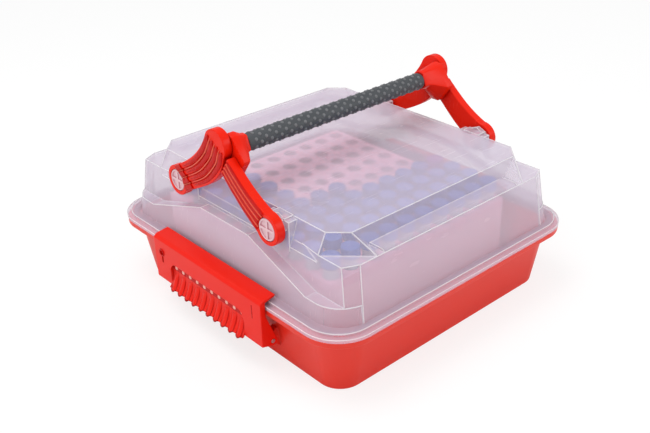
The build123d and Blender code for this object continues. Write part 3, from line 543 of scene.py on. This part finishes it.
def edge_highlight_beads(node):
    """Thin beads along the moulding's outer corners, in a whiter copy of its plastic, as painted
    highlights where its rounded corners catch the light."""
    shell = clean_copy(node)
    skin = BVHTree.FromBMesh(shell)
    beads = bmesh.new()
    for edge in shell.edges:
        if len(edge.link_faces) != 2 or edge.calc_length() < BEAD_LEAST:
            continue
        if edge.calc_face_angle_signed(0) < math.radians(BEAD_LEAST_TURN):
            continue
        start, stop = (vert.co for vert in edge.verts)
        out = sum((face.normal for face in edge.link_faces), Vector()).normalized()
        middle = (start + stop) / 2
        if middle.z < BEAD_FLOOR_Z or skin.ray_cast(middle + out * BEAD_RADIUS, out)[0]:
            continue
        across = (stop - start).normalized().cross(out)
        join_rings(beads, [
            [
                beads.verts.new(
                    end - out * BEAD_SINK
                    + BEAD_RADIUS * (out * math.cos(turned) + across * math.sin(turned))
                )
                for turned in (2 * math.pi * k / BEAD_SIDES for k in range(BEAD_SIDES))
            ]
            for end in (start, stop)
        ])
    for vert in beads.verts:
        vert.co.y = min(max(vert.co.y, -BEAD_REACH_Y), BEAD_REACH_Y)
    shell.free()
    return beads


dress("lid_shell", milky("lid_milk", LID_MILK, LID_MILK_WORN, LID_COVER, LID_GRAZING_COVER))
# Whiter copy of the lid's plastic, as painted highlights along its corners.
lid_edge_highlight = milky(
    "lid_edge_painted_highlight", EDGE_WHITE_PAINTED_HIGHLIGHT, EDGE_WHITE_PAINTED_HIGHLIGHT_WORN, EDGE_HIGHLIGHT_COVER, EDGE_HIGHLIGHT_GRAZING_COVER
)
finish_mesh("lid_edge_highlights", edge_highlight_beads("lid_shell"), lid_edge_highlight, "clear_lid", "lid", angle=70)

# ------------------------------------------------------------------- lid seal
# A soft silicone ring lies in the groove of the rim and closes on the tongue
# of the tray.
SEAL_PALE = (0.80, 0.50, 0.58)
SEAL_PALE_WORN = (0.84, 0.60, 0.66)
seal_pale, _, _ = plastic("seal_silicone", SEAL_PALE, SEAL_PALE_WORN, 0.6, grain=0.6)
dress("lid_seal", seal_pale)

# ----------------------------------------------------------------- pivot pins
# Four pins of pale polypropylene, pressed into the lid's blocks, hold the
# handle eyes. Each head has a raised ring and cross round four sunk quarters.
PIVOT_Y = 0.0838
PIVOT_Z = 0.1619
PIN_HEAD = 0.0130
PIN_HEAD_THICK = 0.0028
PIN_LENGTH = 0.028
PIN_CHAMFER = 0.0004
PIN_ROUND = 0.0006
PIN_RING = 0.0021
PIN_DISH = 0.0015
PIN_SHAFT = 0.0079
PIN_SIDES = 48
CROSS_WIDTH = 0.0030
CROSS_CLEAR = 0.0001
CROSS_SINK = 0.0002
CROSS_DROP = 0.0001
CROSS_STEP = 0.00008
PIN_PALE = (0.80, 0.54, 0.58)
PIN_PALE_WORN = (0.84, 0.66, 0.68)
# Painted shade: the darker pink that ambient occlusion lays into the pins' sunk quarters and round
# their crosses.
PIN_PAINTED_SHADE = (0.60, 0.20, 0.27)


def circle(centre, radius, sides):
    """Points round a centre."""
    turns = (2 * math.pi * k / sides for k in range(sides))
    return [
        (centre[0] + radius * math.cos(turned), centre[1] + radius * math.sin(turned))
        for turned in turns
    ]


def lathe_x(mesh, centre, profile, sides, closed=True):
    """Turned body about a line along X; the profile gives radius and x."""
    join_rings(mesh, [
        [mesh.verts.new((x, y, z)) for y, z in circle(centre, radius, sides)]
        for radius, x in profile
    ], closed)


def pivot_pin(mesh, centre, side, high_x):
    """One pin: shaft, head with its ring and dish, and the cross in the dish."""
    under_x = high_x - PIN_HEAD_THICK
    dish = PIN_HEAD - PIN_RING
    profile = (
        (PIN_SHAFT, high_x - PIN_LENGTH), (PIN_SHAFT, under_x), (PIN_HEAD - PIN_CHAMFER, under_x),
        (PIN_HEAD, under_x + PIN_CHAMFER), (PIN_HEAD, high_x - PIN_ROUND),
        (PIN_HEAD - PIN_ROUND, high_x), (dish, high_x), (dish - PIN_CHAMFER, high_x - PIN_DISH),
    )
    lathe_x(mesh, centre, [(radius, side * x) for radius, x in profile], PIN_SIDES)
    half = CROSS_WIDTH / 2
    reach = dish - CROSS_CLEAR
    floor_x = side * (high_x - PIN_DISH - CROSS_SINK)
    for half_y, half_z, step in ((reach, half, 0), (half, reach, CROSS_STEP)):
        crest_x = side * (high_x - CROSS_DROP - step)
        add_box(
            mesh, (min(floor_x, crest_x), centre[0] - half_y, centre[1] - half_z),
            (max(floor_x, crest_x), centre[0] + half_y, centre[1] + half_z),
        )


# The pins' recesses darken by painted shade.
pin_pale, _, _ = plastic("pin_natural", PIN_PALE, PIN_PALE_WORN, 0.35, edge=0.0005, painted_shade=PIN_PAINTED_SHADE)
mesh = bmesh.new()
for side in (-1, 1):
    for pivot_y in (-PIVOT_Y, PIVOT_Y):
        pivot_pin(mesh, (pivot_y, PIVOT_Z), side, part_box("pivot_pins")[1].x)
finish_mesh(
    "pivot_pins_crossed", mesh, pin_pale, "natural_plastic", "lid", "pivot_pins", angle=40
)

# ----------------------------------------------------------------- handle bows
# The four arms and the rear bar are moulded in a red that is brighter than the tray's. They turn on
# the pins. Raised ribs run down the arms' outer faces, and end in a faceted band on the rear arms.
# The ribs are coloured a darker red as painted shade, the ridges between them a paler red as
# painted highlights, and the corners darken by painted shade.
HANDLE_RED = (0.88, 0.012, 0.002)
HANDLE_RED_WORN = (0.92, 0.050, 0.010)
# Painted shade: the darker red that ambient occlusion lays into the corners of the arms, bar, end
# fittings and latches.
HANDLE_PAINTED_SHADE = (0.50, 0.002, 0.001)
# Painted shade: the ribs, the latches' tag rings and their thin plates take this darker copy of the
# handle red.
RIB_RED_PAINTED_SHADE = (0.52, 0.001, 0.001)
# Painted highlight: the ridges between the ribs are coloured a paler red.
RIDGE_RED_PAINTED_HIGHLIGHT = (0.96, 0.17, 0.10)
ARM_ROUND = 0.0007
BAR_ROUND = 0.0005
ARM_OUTER_X = 0.178
KNOB_Z = 0.232
EYE_RADIUS = 0.0185
EYE_CLEAR = 0.0142
# Place of each rib and ridge across the arm, as a share of its width.
RIB_SHARES = (0.125, 0.375, 0.625, 0.875)
RIDGE_SHARES = (0.25, 0.5, 0.75)
# Start and stop along the arm, and half width at both, as shares.
RIB_RUNS = {"front_arm": (0.03, 0.96, 0.108, 0.10), "rear_arm": (-0.06, 0.75, 0.108, 0.015)}
RIB_STEPS = 26
RIB_NARROWING = 1.6
RIB_LIFT = 0.0011
RIB_SINK = 0.0004
# Place across a rib from its middle, and height as a share of its lift; the
# sides of a rib are sunk in the arm.
RIB_SECTION = ((-1, 0), (-0.8, 0.75), (-0.45, 1), (0.45, 1), (0.8, 0.75), (1, 0))
NOSE_HEAD = 0.35
NOSE_FOOT = 0.30
NOSE_RISE = 6
RIDGE_HALF = 0.016
RIDGE_END_HALF = 0.014
RIDGE_LIFT = 0.0013
BAND_START = 0.80
BAND_STOP = 0.96
BAND_STEPS = 8
BAND_HALF = 0.112
BAND_LIFT = 0.0014
BAND_RIDGE_LIFT = 0.0015


def eye_point(side, angle):
    """Point on an eye's rim; the angle is from the line to the box's middle."""
    turned = math.radians(angle)
    return (
        side * (PIVOT_Y - EYE_RADIUS * math.cos(turned)), PIVOT_Z + EYE_RADIUS * math.sin(turned)
    )


# The two edges of each arm as (y, z), from the head down to the eye.
ARM_EDGES = {
    "front_arm": (
        [(-0.022, KNOB_Z - 0.009), (-0.034, KNOB_Z - 0.020), (-0.052, PIVOT_Z + 0.036),
         (-0.070, PIVOT_Z + 0.025), eye_point(-1, 90)],
        [(-0.008, KNOB_Z - 0.029), (-0.024, KNOB_Z - 0.044), (-0.042, PIVOT_Z + 0.010),
         (-0.058, PIVOT_Z - 0.002), eye_point(-1, -32)],
    ),
    "rear_arm": (
        [(0.017, KNOB_Z + 0.007), (0.030, KNOB_Z - 0.012), (0.050, PIVOT_Z + 0.040),
         (0.072, PIVOT_Z + 0.026), eye_point(1, 100)],
        [(-0.015, KNOB_Z - 0.011), (-0.009, KNOB_Z - 0.026), (0.014, PIVOT_Z + 0.020),
         (0.044, PIVOT_Z + 0.003), eye_point(1, -32)],
    ),
}


def along_edge(points, share):
    """Point on the smooth line through an edge's points."""
    spans = len(points) - 1
    index = min(int(share * spans), spans - 1)
    local = share * spans - index
    a, b = Vector(points[index]), Vector(points[index + 1])
    before = Vector(points[index - 1]) if index else 2 * a - b
    after = Vector(points[index + 2]) if index + 2 <= spans else 2 * b - a
    return 0.5 * (
        2 * a + (b - before) * local + (2 * before - 5 * a + 4 * b - after) * local ** 2
        + (3 * a - before - 3 * b + after) * local ** 3
    )


def across_arm(kind, along, share):
    """Point on an arm's outer face, a share of the way between its edges."""
    upper, lower = (along_edge(edge, along) for edge in ARM_EDGES[kind])
    return upper.lerp(lower, share)


def arm_rib(mesh, kind, side, middle, spans, lift):
    """Raised strip on an arm's face; spans give its place along and half width."""
    pivot = Vector((PIVOT_Y if kind == "rear_arm" else -PIVOT_Y, PIVOT_Z))
    rings = []
    for along, half in spans:
        ring = []
        for offset, rise in RIB_SECTION:
            place = across_arm(kind, along, middle + offset * half)
            if (place - pivot).length < EYE_CLEAR:
                place = pivot + (place - pivot).normalized() * EYE_CLEAR
            height = lift * rise if rise else -RIB_SINK
            ring.append(mesh.verts.new((side * (ARM_OUTER_X + height), *place)))
        rings.append(ring)
    join_rings(mesh, rings)


def rib_spans(start, stop, half, end_half):
    """Places along a rib and its half width there, drawn in at both ends."""
    spans = []
    for step in range(RIB_STEPS + 1):
        share = step / RIB_STEPS
        width = half + (end_half - half) * share ** RIB_NARROWING
        nose = min(1.0, NOSE_HEAD + NOSE_RISE * share, NOSE_FOOT + NOSE_RISE * (1 - share))
        spans.append((start + (stop - start) * share, width * nose))
    return spans


def band_spans(half):
    """Places along the faceted band, close enough to follow the pin's head."""
    return [
        (BAND_START + (BAND_STOP - BAND_START) * step / BAND_STEPS, half)
        for step in range(BAND_STEPS + 1)
    ]


handle_red, _, handle_shader = plastic(
    "handle_red", HANDLE_RED, HANDLE_RED_WORN, 0.22, edge=0.0010, painted_shade=HANDLE_PAINTED_SHADE
)
handle_shader.inputs["Specular IOR Level"].default_value = 0.15
# A darker copy of the handle red, as painted shade on the ribs.
painted_shade_red, _, painted_shade_shader = plastic("painted_shade_red", RIB_RED_PAINTED_SHADE, HANDLE_RED, 0.24, edge=0.0006)
painted_shade_shader.inputs["Specular IOR Level"].default_value = 0.12
# A paler red, as painted highlights along the ridges.
ridge_red_painted_highlight, _, _ = plastic("ridge_red_painted_highlight", RIDGE_RED_PAINTED_HIGHLIGHT, HANDLE_RED_WORN, 0.2, edge=0.0003)
for end, side in (("left", -1), ("right", 1)):
    for kind, bow in (("front_arm", "front_handle"), ("rear_arm", "rear_handle")):
        soften(f"{kind}_{end}", handle_red, "red_plastic", bow, ARM_ROUND)
        start, stop, half, end_half = RIB_RUNS[kind]
        ribs, ridges = bmesh.new(), bmesh.new()
        for middle in RIB_SHARES:
            arm_rib(ribs, kind, side, middle, rib_spans(start, stop, half, end_half), RIB_LIFT)
            if kind == "rear_arm":
                arm_rib(ribs, kind, side, middle, band_spans(BAND_HALF), BAND_LIFT)
        for middle in RIDGE_SHARES:
            spans = rib_spans(start, stop, RIDGE_HALF, RIDGE_END_HALF)
            arm_rib(ridges, kind, side, middle, spans, RIDGE_LIFT)
            if kind == "rear_arm":
                arm_rib(ridges, kind, side, middle, band_spans(RIDGE_END_HALF), BAND_RIDGE_LIFT)
        finish_mesh(f"{kind}_{end}_ribs", ribs, painted_shade_red, "red_plastic", bow, angle=28)
        finish_mesh(f"{kind}_{end}_ridges", ridges, ridge_red_painted_highlight, "red_plastic", bow, angle=50)
soften("rear_bar", handle_red, "red_plastic", "rear_handle", BAR_ROUND)

# ----------------------------------------------------------------------- grip
# A dark soft sleeve is moulded over the core tube, with staggered rows of
# raised dots all round. Its red end fittings run out from the sleeve's round
# to a seven-sided lug on each front arm.
GRIP_AXIS = tuple(sum(c) / 2 for c in list(zip(*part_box("grip_sleeve")))[1:])
GRIP_LOW_X, GRIP_HIGH_X = (corner.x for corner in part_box("grip_sleeve"))
GRIP_RADIUS = 0.0101
GRIP_SIDES = 40
# Distance in from the sleeve's radius and from its end.
GRIP_LOW_LINE = ((0.0016, 0), (0.0005, 0.0005), (0, 0.0018))
GRIP_HIGH_LINE = ((0, 0.0030), (0.0007, 0.0012), (0.0025, 0))
GRIP_DARK = (0.058, 0.064, 0.072)
GRIP_DARK_WORN = (0.085, 0.092, 0.10)
# Painted highlight: the dots are a paler grey than the sleeve, standing in for the highlights on
# their domes.
DOT_GREY_PAINTED_HIGHLIGHT = (0.15, 0.155, 0.165)
DOT_GREY_PAINTED_HIGHLIGHT_WORN = (0.22, 0.23, 0.24)
DOT_ROWS = 14
DOT_PITCH = 0.0140
DOT_SHIFT = 0.25
DOT_MARGIN = 0.004
DOT_RADIUS = 0.0021
DOT_HEIGHT = 0.0010
DOT_SIDES = 10
# Share of a dot's radius, and height over the sleeve.
DOT_RINGS = ((1.0, -0.0004), (0.92, 0.00045), (0.6, 0.00085))


def add_dot(mesh, x, angle):
    """One domed dot that stands on the sleeve."""
    out = Vector((0, math.cos(angle), math.sin(angle)))
    around = Vector((0, -math.sin(angle), math.cos(angle)))
    centre = Vector((x, *GRIP_AXIS))
    rings = [
        [
            mesh.verts.new(
                centre + out * (GRIP_RADIUS + level) + Vector((along, 0, 0)) + around * across
            )
            for along, across in circle((0, 0), DOT_RADIUS * share, DOT_SIDES)
        ]
        for share, level in DOT_RINGS
    ]
    join_rings(mesh, rings, closed=False)
    tip = mesh.verts.new(centre + out * (GRIP_RADIUS + DOT_HEIGHT))
    for k in range(DOT_SIDES):
        mesh.faces.new((rings[-1][k], rings[-1][(k + 1) % DOT_SIDES], tip))
    mesh.faces.new(list(reversed(rings[0])))


grip_dark, _, _ = plastic(
    "grip_soft", GRIP_DARK, GRIP_DARK_WORN, 0.5, wear=0.3, grain=0.8, edge=0.0004
)
# Paler grey for the dots, as painted highlights.
dot_grey_painted_highlight, _, _ = plastic("grip_dots", DOT_GREY_PAINTED_HIGHLIGHT, DOT_GREY_PAINTED_HIGHLIGHT_WORN, 0.35, wear=0.3)
mesh = bmesh.new()
lathe_x(mesh, GRIP_AXIS, [
    *((GRIP_RADIUS - inset, GRIP_LOW_X + step) for inset, step in GRIP_LOW_LINE),
    *((GRIP_RADIUS - inset, GRIP_HIGH_X - step) for inset, step in GRIP_HIGH_LINE),
], GRIP_SIDES)
finish_mesh("grip_sleeve_soft", mesh, grip_dark, "grip_rubber", "front_handle", "grip_sleeve")
mesh = bmesh.new()
dots_along = int((GRIP_HIGH_X - GRIP_LOW_X - DOT_MARGIN) / DOT_PITCH)
for row in range(DOT_ROWS):
    shift = DOT_SHIFT if row % 2 else -DOT_SHIFT
    for step in range(dots_along):
        along = (step - (dots_along - 1) / 2 + shift) * DOT_PITCH
        add_dot(mesh, (GRIP_LOW_X + GRIP_HIGH_X) / 2 + along, 2 * math.pi * row / DOT_ROWS)
finish_mesh("grip_dots", mesh, dot_grey_painted_highlight, "grip_rubber", "front_handle", angle=60)
dress("grip_core", grip_dark)

SOCKET_CORNER = 0.0122
SOCKET_TRIM = 0.0006
SLEEVE_LAP = 0.0001
LUG_INNER_X = 0.158
LUG_OUTER_X = 0.1668
LUG_TRIM = 0.0007
LUG_ROUND = 0.0016
LUG_ROUND_IN = 0.975
LUG_LIFT = -0.004
# Corners of the lug as (y, z), from the middle of the rear arms' heads.
LUG_OUTLINE = (
    (-0.001, -0.020), (-0.001, 0.012), (-0.009, 0.018), (-0.019, 0.015), (-0.037, -0.009),
    (-0.022, -0.031), (-0.010, -0.031),
)


def lug_ring(mesh, x, swell, trim):
    """Seven-sided ring with rounded corners, from the socket's to the lug's."""
    corners = []
    for y, z in LUG_OUTLINE:
        corner = Vector((y - GRIP_AXIS[0], KNOB_Z + LUG_LIFT + z - GRIP_AXIS[1]))
        size = SOCKET_CORNER + (corner.length - SOCKET_CORNER) * swell - trim
        corners.append(corner.normalized() * size)
    ring = []
    for index, corner in enumerate(corners):
        before, after = corners[index - 1], corners[(index + 1) % len(corners)]
        for point in (
            corner + (before - corner).normalized() * LUG_ROUND, corner * LUG_ROUND_IN,
            corner + (after - corner).normalized() * LUG_ROUND,
        ):
            ring.append(mesh.verts.new((x, GRIP_AXIS[0] + point.x, GRIP_AXIS[1] + point.y)))
    return ring


def grip_fitting(end, sleeve_x, inner_x, outer_x):
    """End fitting: flat faces that run out from the socket to the lug."""
    mesh = bmesh.new()
    reach, depth = inner_x - sleeve_x, outer_x - inner_x
    # Place along X, share of the lug's size, and trim of the edge.
    stations = (
        (sleeve_x, 0.0, SOCKET_TRIM), (sleeve_x + reach * 0.04, 0.0, 0.0),
        (sleeve_x + reach * 0.35, 0.06, 0.0), (inner_x - reach * 0.03, 0.97, 0.0),
        (inner_x + depth * 0.08, 1.0, 0.0), (outer_x - depth * 0.08, 1.0, 0.0),
        (outer_x, 1.0, LUG_TRIM),
    )
    join_rings(mesh, [lug_ring(mesh, *station) for station in stations])
    finish_mesh(
        f"grip_end_{end}_lofted", mesh, handle_red, "red_plastic", "front_handle",
        f"grip_end_{end}", angle=26,
    )


grip_fitting("left", GRIP_LOW_X + SLEEVE_LAP, -LUG_INNER_X, -LUG_OUTER_X)
grip_fitting("right", GRIP_HIGH_X - SLEEVE_LAP, LUG_INNER_X, LUG_OUTER_X)

# --------------------------------------------------------------------- latches
# Each latch is one red moulding that swings on its pins and hooks over the lid's rim. Rounded ribs
# for the fingers stand in its window, and a ring goes round the hole for a seal tag. The ring and
# thin plates over the window's top and a slot are coloured a darker red as painted shade, its
# corners darken by painted shade, and pale domes on the ribs' tops are painted highlights.
LATCH_RED = (0.86, 0.008, 0.002)
LATCH_ROUND = 0.0008
LATCH_FACE_X = 0.208
PANEL_X = 0.204
LATCH_RIBS = 10
LATCH_RIB_PITCH = 0.0144
LATCH_RIB_HALF = 0.00425
LATCH_RIB_TOP_Z = 0.061
RIB_CREST_Z = 0.0600
RIB_FADE = 0.012
RIB_CROWN = 0.0014
RIB_CUTS = 5
RIB_FOOT_X = 0.212
RIB_FOOT_Z = 0.0325
RIB_TOE_Z = 0.0315
RIB_TOE_LIFT = 0.0022
PANEL_CLEAR = 0.0003
SAME_MIDDLE = 0.0002
SAME_LENGTH = 1e-5
SAME_LEVEL = 1e-6


def rib_offset(y):
    """Distance from a latch's nearest finger rib, along the latch."""
    row = abs(y) / LATCH_RIB_PITCH - 0.5
    return (row - round(row)) * LATCH_RIB_PITCH


def rib_front(edge):
    """True for a level edge that runs across the front of one finger rib."""
    first, second = (vert.co for vert in edge.verts)
    middle = (first + second) / 2
    level = max(abs(first.z - second.z), abs(first.x - second.x)) < SAME_LEVEL
    spans = abs(abs(first.y - second.y) - 2 * LATCH_RIB_HALF) < SAME_LENGTH
    ahead = abs(middle.x) > PANEL_X + PANEL_CLEAR and middle.z < LATCH_RIB_TOP_Z
    foot = middle.z < RIB_FOOT_Z and abs(middle.x) < RIB_FOOT_X
    return level and spans and ahead and not foot and abs(rib_offset(middle.y)) < SAME_MIDDLE


def crown_ribs(mesh):
    """Round the flat fronts of the finger ribs, their sides drawn back."""
    fronts = [edge for edge in mesh.edges if rib_front(edge)]
    levels = {(round(e.verts[0].co.x, 5), round(e.verts[0].co.z, 5)) for e in fronts}
    bmesh.ops.subdivide_edges(mesh, edges=fronts, cuts=RIB_CUTS, use_grid_fill=True)
    for vert in mesh.verts:
        offset = abs(rib_offset(vert.co.y))
        at_front = (round(vert.co.x, 5), round(vert.co.z, 5)) in levels
        if not at_front or offset > LATCH_RIB_HALF + SAME_LENGTH:
            continue
        share = min(1.0, offset / LATCH_RIB_HALF)
        proud = min(1.0, max(0.0, (RIB_CREST_Z - vert.co.z) / RIB_FADE))
        back = RIB_CROWN * proud * share ** 2
        vert.co.x -= math.copysign(back, vert.co.x)
        if vert.co.z < RIB_TOE_Z:
            vert.co.z += RIB_TOE_LIFT * share ** 2


TAG_SPOT = (-0.088, 0.074)
TAG_SIDES = 28
# Radius, and height over the face, round the ring of the tag hole.
TAG_LINE = (
    (0.0031, -0.0004), (0.0052, -0.0004), (0.0050, 0.0006), (0.0044, 0.0012),
    (0.0036, 0.0012), (0.0031, 0.0006),
)
TAG_REACH = 0.009
TAG_LOW_Z = 0.052
TAG_HIGH_Z = 0.082
TAG_BACK_X = 0.2
WINDOW_BACK_X = 0.2015
WINDOW_HIGH_Z = 0.0615
WINDOW_HALF = 0.0735


def latch_kept_sharp(edge):
    """True for the ribs' own edges and those round the tag hole."""
    x, y, z = (edge.verts[0].co + edge.verts[1].co) / 2
    x, y = abs(x), abs(y)
    in_window = x > WINDOW_BACK_X and z < WINDOW_HIGH_Z and y < WINDOW_HALF
    at_tag = x > TAG_BACK_X and abs(y + TAG_SPOT[0]) < TAG_REACH and TAG_LOW_Z < z < TAG_HIGH_Z
    return in_window or at_tag


def tag_ring(mesh, side):
    """Raised ring round the hole for a seal tag."""
    line = [(radius, side * (LATCH_FACE_X + lift)) for radius, lift in (*TAG_LINE, TAG_LINE[0])]
    lathe_x(mesh, (side * TAG_SPOT[0], TAG_SPOT[1]), line, TAG_SIDES, closed=False)


# Painted shade: thin dark red plates across the window's top and over a slot stand in for the shade
# in those recesses.
INLAY_FOOT_Z = 0.0563
INLAY_TOP_Z = 0.0655
INLAY_HALF = 0.0715
INLAY_CORNER = 0.0100
INLAY_CORNER_RISE = 0.0090
INLAY_SINK = 0.0003
INLAY_LIFT = 0.00015
SLOT_Y = 0.0885
SLOT_HALF = 0.0007
SLOT_LOW_Z = 0.067
SLOT_HIGH_Z = 0.083


def place_for(side, point):
    """Point of the right latch, or the same one turned half round for the left."""
    return (side * point[0], side * point[1], point[2])


def shade_inlay(mesh, side, outline, face_x):
    """Thin plate with an outline of (y, z), just proud of a face, for painted shade."""
    join_rings(mesh, [
        [mesh.verts.new(place_for(side, (x, y, z))) for y, z in outline]
        for x in (face_x - INLAY_SINK, face_x + INLAY_LIFT)
    ])


def window_shade_band(mesh, side):
    """Thin plate across the top of the window, above the ribs, that takes the dark red of painted
    shade in the recess there.
    """
    outline = [(-INLAY_HALF, INLAY_FOOT_Z), (INLAY_HALF, INLAY_FOOT_Z)]
    for middle_y, first in ((INLAY_HALF - INLAY_CORNER, 0), (INLAY_CORNER - INLAY_HALF, 90)):
        for step in range(7):
            turned = math.radians(first + 15 * step)
            outline.append((
                middle_y + INLAY_CORNER * math.cos(turned),
                INLAY_TOP_Z + INLAY_CORNER_RISE * (math.sin(turned) - 1),
            ))
    shade_inlay(mesh, side, outline, PANEL_X)


def slot_shade_mark(mesh, side):
    """Mark of a narrow slot with round ends, in the face beyond the window, for the painted shade
    in the slot.
    """
    outline = []
    for middle_z, first in ((SLOT_HIGH_Z, 0), (SLOT_LOW_Z, 180)):
        for step in range(7):
            turned = math.radians(first + 30 * step)
            outline.append((
                SLOT_Y + SLOT_HALF * math.cos(turned), middle_z + SLOT_HALF * math.sin(turned)
            ))
    shade_inlay(mesh, side, outline, LATCH_FACE_X)


TIP_Z = 0.0610
TIP_HALF = 0.0020
TIP_RISE = 0.0036
TIP_SPREAD = 1.25
TIP_TAPER = 0.55
TIP_SIDES = 12
# Share of a tip's size, and height over the panel.
TIP_RINGS = ((1.0, -0.0003), (0.85, 0.0005), (0.45, 0.0009))
# Painted highlight: the pale colour of the domes on the ribs' tops.
TIP_PALE_PAINTED_HIGHLIGHT = (0.94, 0.50, 0.42)
TIP_PALE_PAINTED_HIGHLIGHT_WORN = (0.94, 0.60, 0.50)


def rib_tip_highlights(mesh, side):
    """Small pale domes over the ribs, in the top of the window, as painted highlights on the ribs'
    rounded tops.
    """
    for index in range(LATCH_RIBS):
        y = (index - (LATCH_RIBS - 1) / 2) * LATCH_RIB_PITCH
        rings = []
        for scale, lift in TIP_RINGS:
            ring = []
            for across, up in circle((0, 0), 1.0, TIP_SIDES):
                half = TIP_HALF * (TIP_SPREAD - TIP_TAPER * up)
                ring.append(mesh.verts.new(place_for(side, (
                    PANEL_X + lift, y + scale * half * across, TIP_Z + scale * TIP_RISE * up
                ))))
            rings.append(ring)
        join_rings(mesh, rings)


# The latch's corners take the painted shade red by ambient occlusion.
latch_red, _, latch_shader = plastic(
    "latch_red", LATCH_RED, HANDLE_RED_WORN, 0.26, edge=0.0010, painted_shade=HANDLE_PAINTED_SHADE
)
latch_shader.inputs["Specular IOR Level"].default_value = 0.2
# Pale colour for the painted highlights on the ribs' tops.
tip_painted_highlight, _, _ = plastic("latch_rib_tip_highlights", TIP_PALE_PAINTED_HIGHLIGHT, TIP_PALE_PAINTED_HIGHLIGHT_WORN, 0.25, edge=0.0003)
for end, side in (("left", -1), ("right", 1)):
    node = f"latch_{end}"
    soften(
        node, latch_red, "red_plastic", node, LATCH_ROUND, skip=latch_kept_sharp, shape=crown_ribs
    )
    # The tag ring and the plates take the painted shade red, the domes the painted highlight
    # colour.
    for name, shapes, material, angle in (
        ("tag_ring", (tag_ring,), painted_shade_red, 35),
        ("window_shade_band", (window_shade_band, slot_shade_mark), painted_shade_red, 35),
        ("rib_tip_highlights", (rib_tip_highlights,), tip_painted_highlight, 60),
    ):
        mesh = bmesh.new()
        for shape in shapes:
            shape(mesh, side)
        finish_mesh(f"{node}_{name}", mesh, material, "red_plastic", node, angle=angle)

# ----------------------------------------------------------- floor and backdrop
# A pale bench and a white surround, with broad soft lamps as in a studio. The
# bench glows a little for the camera alone, so that only soft shadows show.
BENCH_HALF = 40.0
BENCH_WHITE = 0.9
BENCH_GLOW = 1.07
BENCH_GLOW_SHARE = 0.72
SKY_LEVELS = (0.62, 1.02)
LAMP_AIM = Vector((0, 0, 0.1))
# Place, size and power of each lamp.
LAMPS = {
    "key_lamp": ((-0.5, 0.3, 1.9), 1.2, 14),
    "fill_lamp": ((1.2, -1.6, 1.0), 1.0, 9),
    "side_lamp": ((-1.8, -0.3, 0.8), 0.9, 5),
}


def bench_material():
    """White bench that shows the soft shadow of the box."""
    material = bpy.data.materials.new("bench_white")
    material.use_nodes = True
    tree = material.node_tree
    tree.nodes.clear()
    matt = tree.nodes.new("ShaderNodeBsdfDiffuse")
    matt.inputs["Color"].default_value = (BENCH_WHITE, BENCH_WHITE, BENCH_WHITE, 1)
    glow = tree.nodes.new("ShaderNodeEmission")
    glow.inputs["Strength"].default_value = BENCH_GLOW
    seen = tree.nodes.new("ShaderNodeLightPath").outputs["Is Camera Ray"]
    mix = tree.nodes.new("ShaderNodeMixShader")
    share = math_node(tree, "MULTIPLY", seen, BENCH_GLOW_SHARE)
    for socket, value in zip(mix.inputs, (share, matt.outputs["BSDF"], glow.outputs["Emission"])):
        put(tree, socket, value)
    output = tree.nodes.new("ShaderNodeOutputMaterial")
    put(tree, output.inputs["Surface"], mix.outputs["Shader"])
    return material


bench_mesh = bpy.data.meshes.new("bench")
bench_mesh.from_pydata(
    [(x * BENCH_HALF, y * BENCH_HALF, 0) for x, y in ((-1, -1), (1, -1), (1, 1), (-1, 1))],
    [], [(0, 1, 2, 3)],
)
bench_mesh.materials.append(bench_material())
bench = bpy.data.objects.new("bench", bench_mesh)
bpy.context.scene.collection.objects.link(bench)

world = bpy.data.worlds.new("surround")
bpy.context.scene.world = world
world.use_nodes = True
sky = world.node_tree
sky.nodes.clear()
air = sky.nodes.new("ShaderNodeBackground")
air.inputs["Color"].default_value = (1, 1, 1, 1)
path = sky.nodes.new("ShaderNodeLightPath").outputs
seen = math_node(sky, "MAXIMUM", path["Is Camera Ray"], path["Is Transmission Ray"])
put(sky, air.inputs["Strength"], map_range(sky, seen, (0, 1), SKY_LEVELS))
sky_out = sky.nodes.new("ShaderNodeOutputWorld")
put(sky, sky_out.inputs["Surface"], air.outputs["Background"])

for name, (place, size, power) in LAMPS.items():
    lamp = bpy.data.lights.new(name, "AREA")
    lamp.shape = "SQUARE"
    lamp.size = size
    lamp.energy = power
    holder = bpy.data.objects.new(name, lamp)
    holder.location = place
    holder.rotation_euler = (LAMP_AIM - Vector(place)).to_track_quat("-Z", "Y").to_euler()
    bpy.context.scene.collection.objects.link(holder)

# ---------------------------------------------------------------------- camera
# The eye stands before the corner between the left end and the front wall,
# and looks down over the lid. It was solved from the box's straight edges.
EYE = Vector((-0.66785, -0.74070, 0.61714))
LOOK = Vector((0.57781, 0.66366, -0.47507))
ROLL = math.radians(-1.607)
LENS = 49.4
SENSOR_WIDTH = 36.0
NEAREST = 0.01

camera_data = bpy.data.cameras.new("eye")
camera_data.lens = LENS
camera_data.sensor_width = SENSOR_WIDTH
camera_data.clip_start = NEAREST
camera = bpy.data.objects.new("eye", camera_data)
aim = LOOK.to_track_quat("-Z", "Y").to_matrix().to_4x4()
camera.matrix_world = Matrix.Translation(EYE) @ aim @ Matrix.Rotation(ROLL, 4, "Z")
bpy.context.scene.collection.objects.link(camera)
bpy.context.scene.camera = camera
bpy.context.scene.view_settings.view_transform = "Standard"
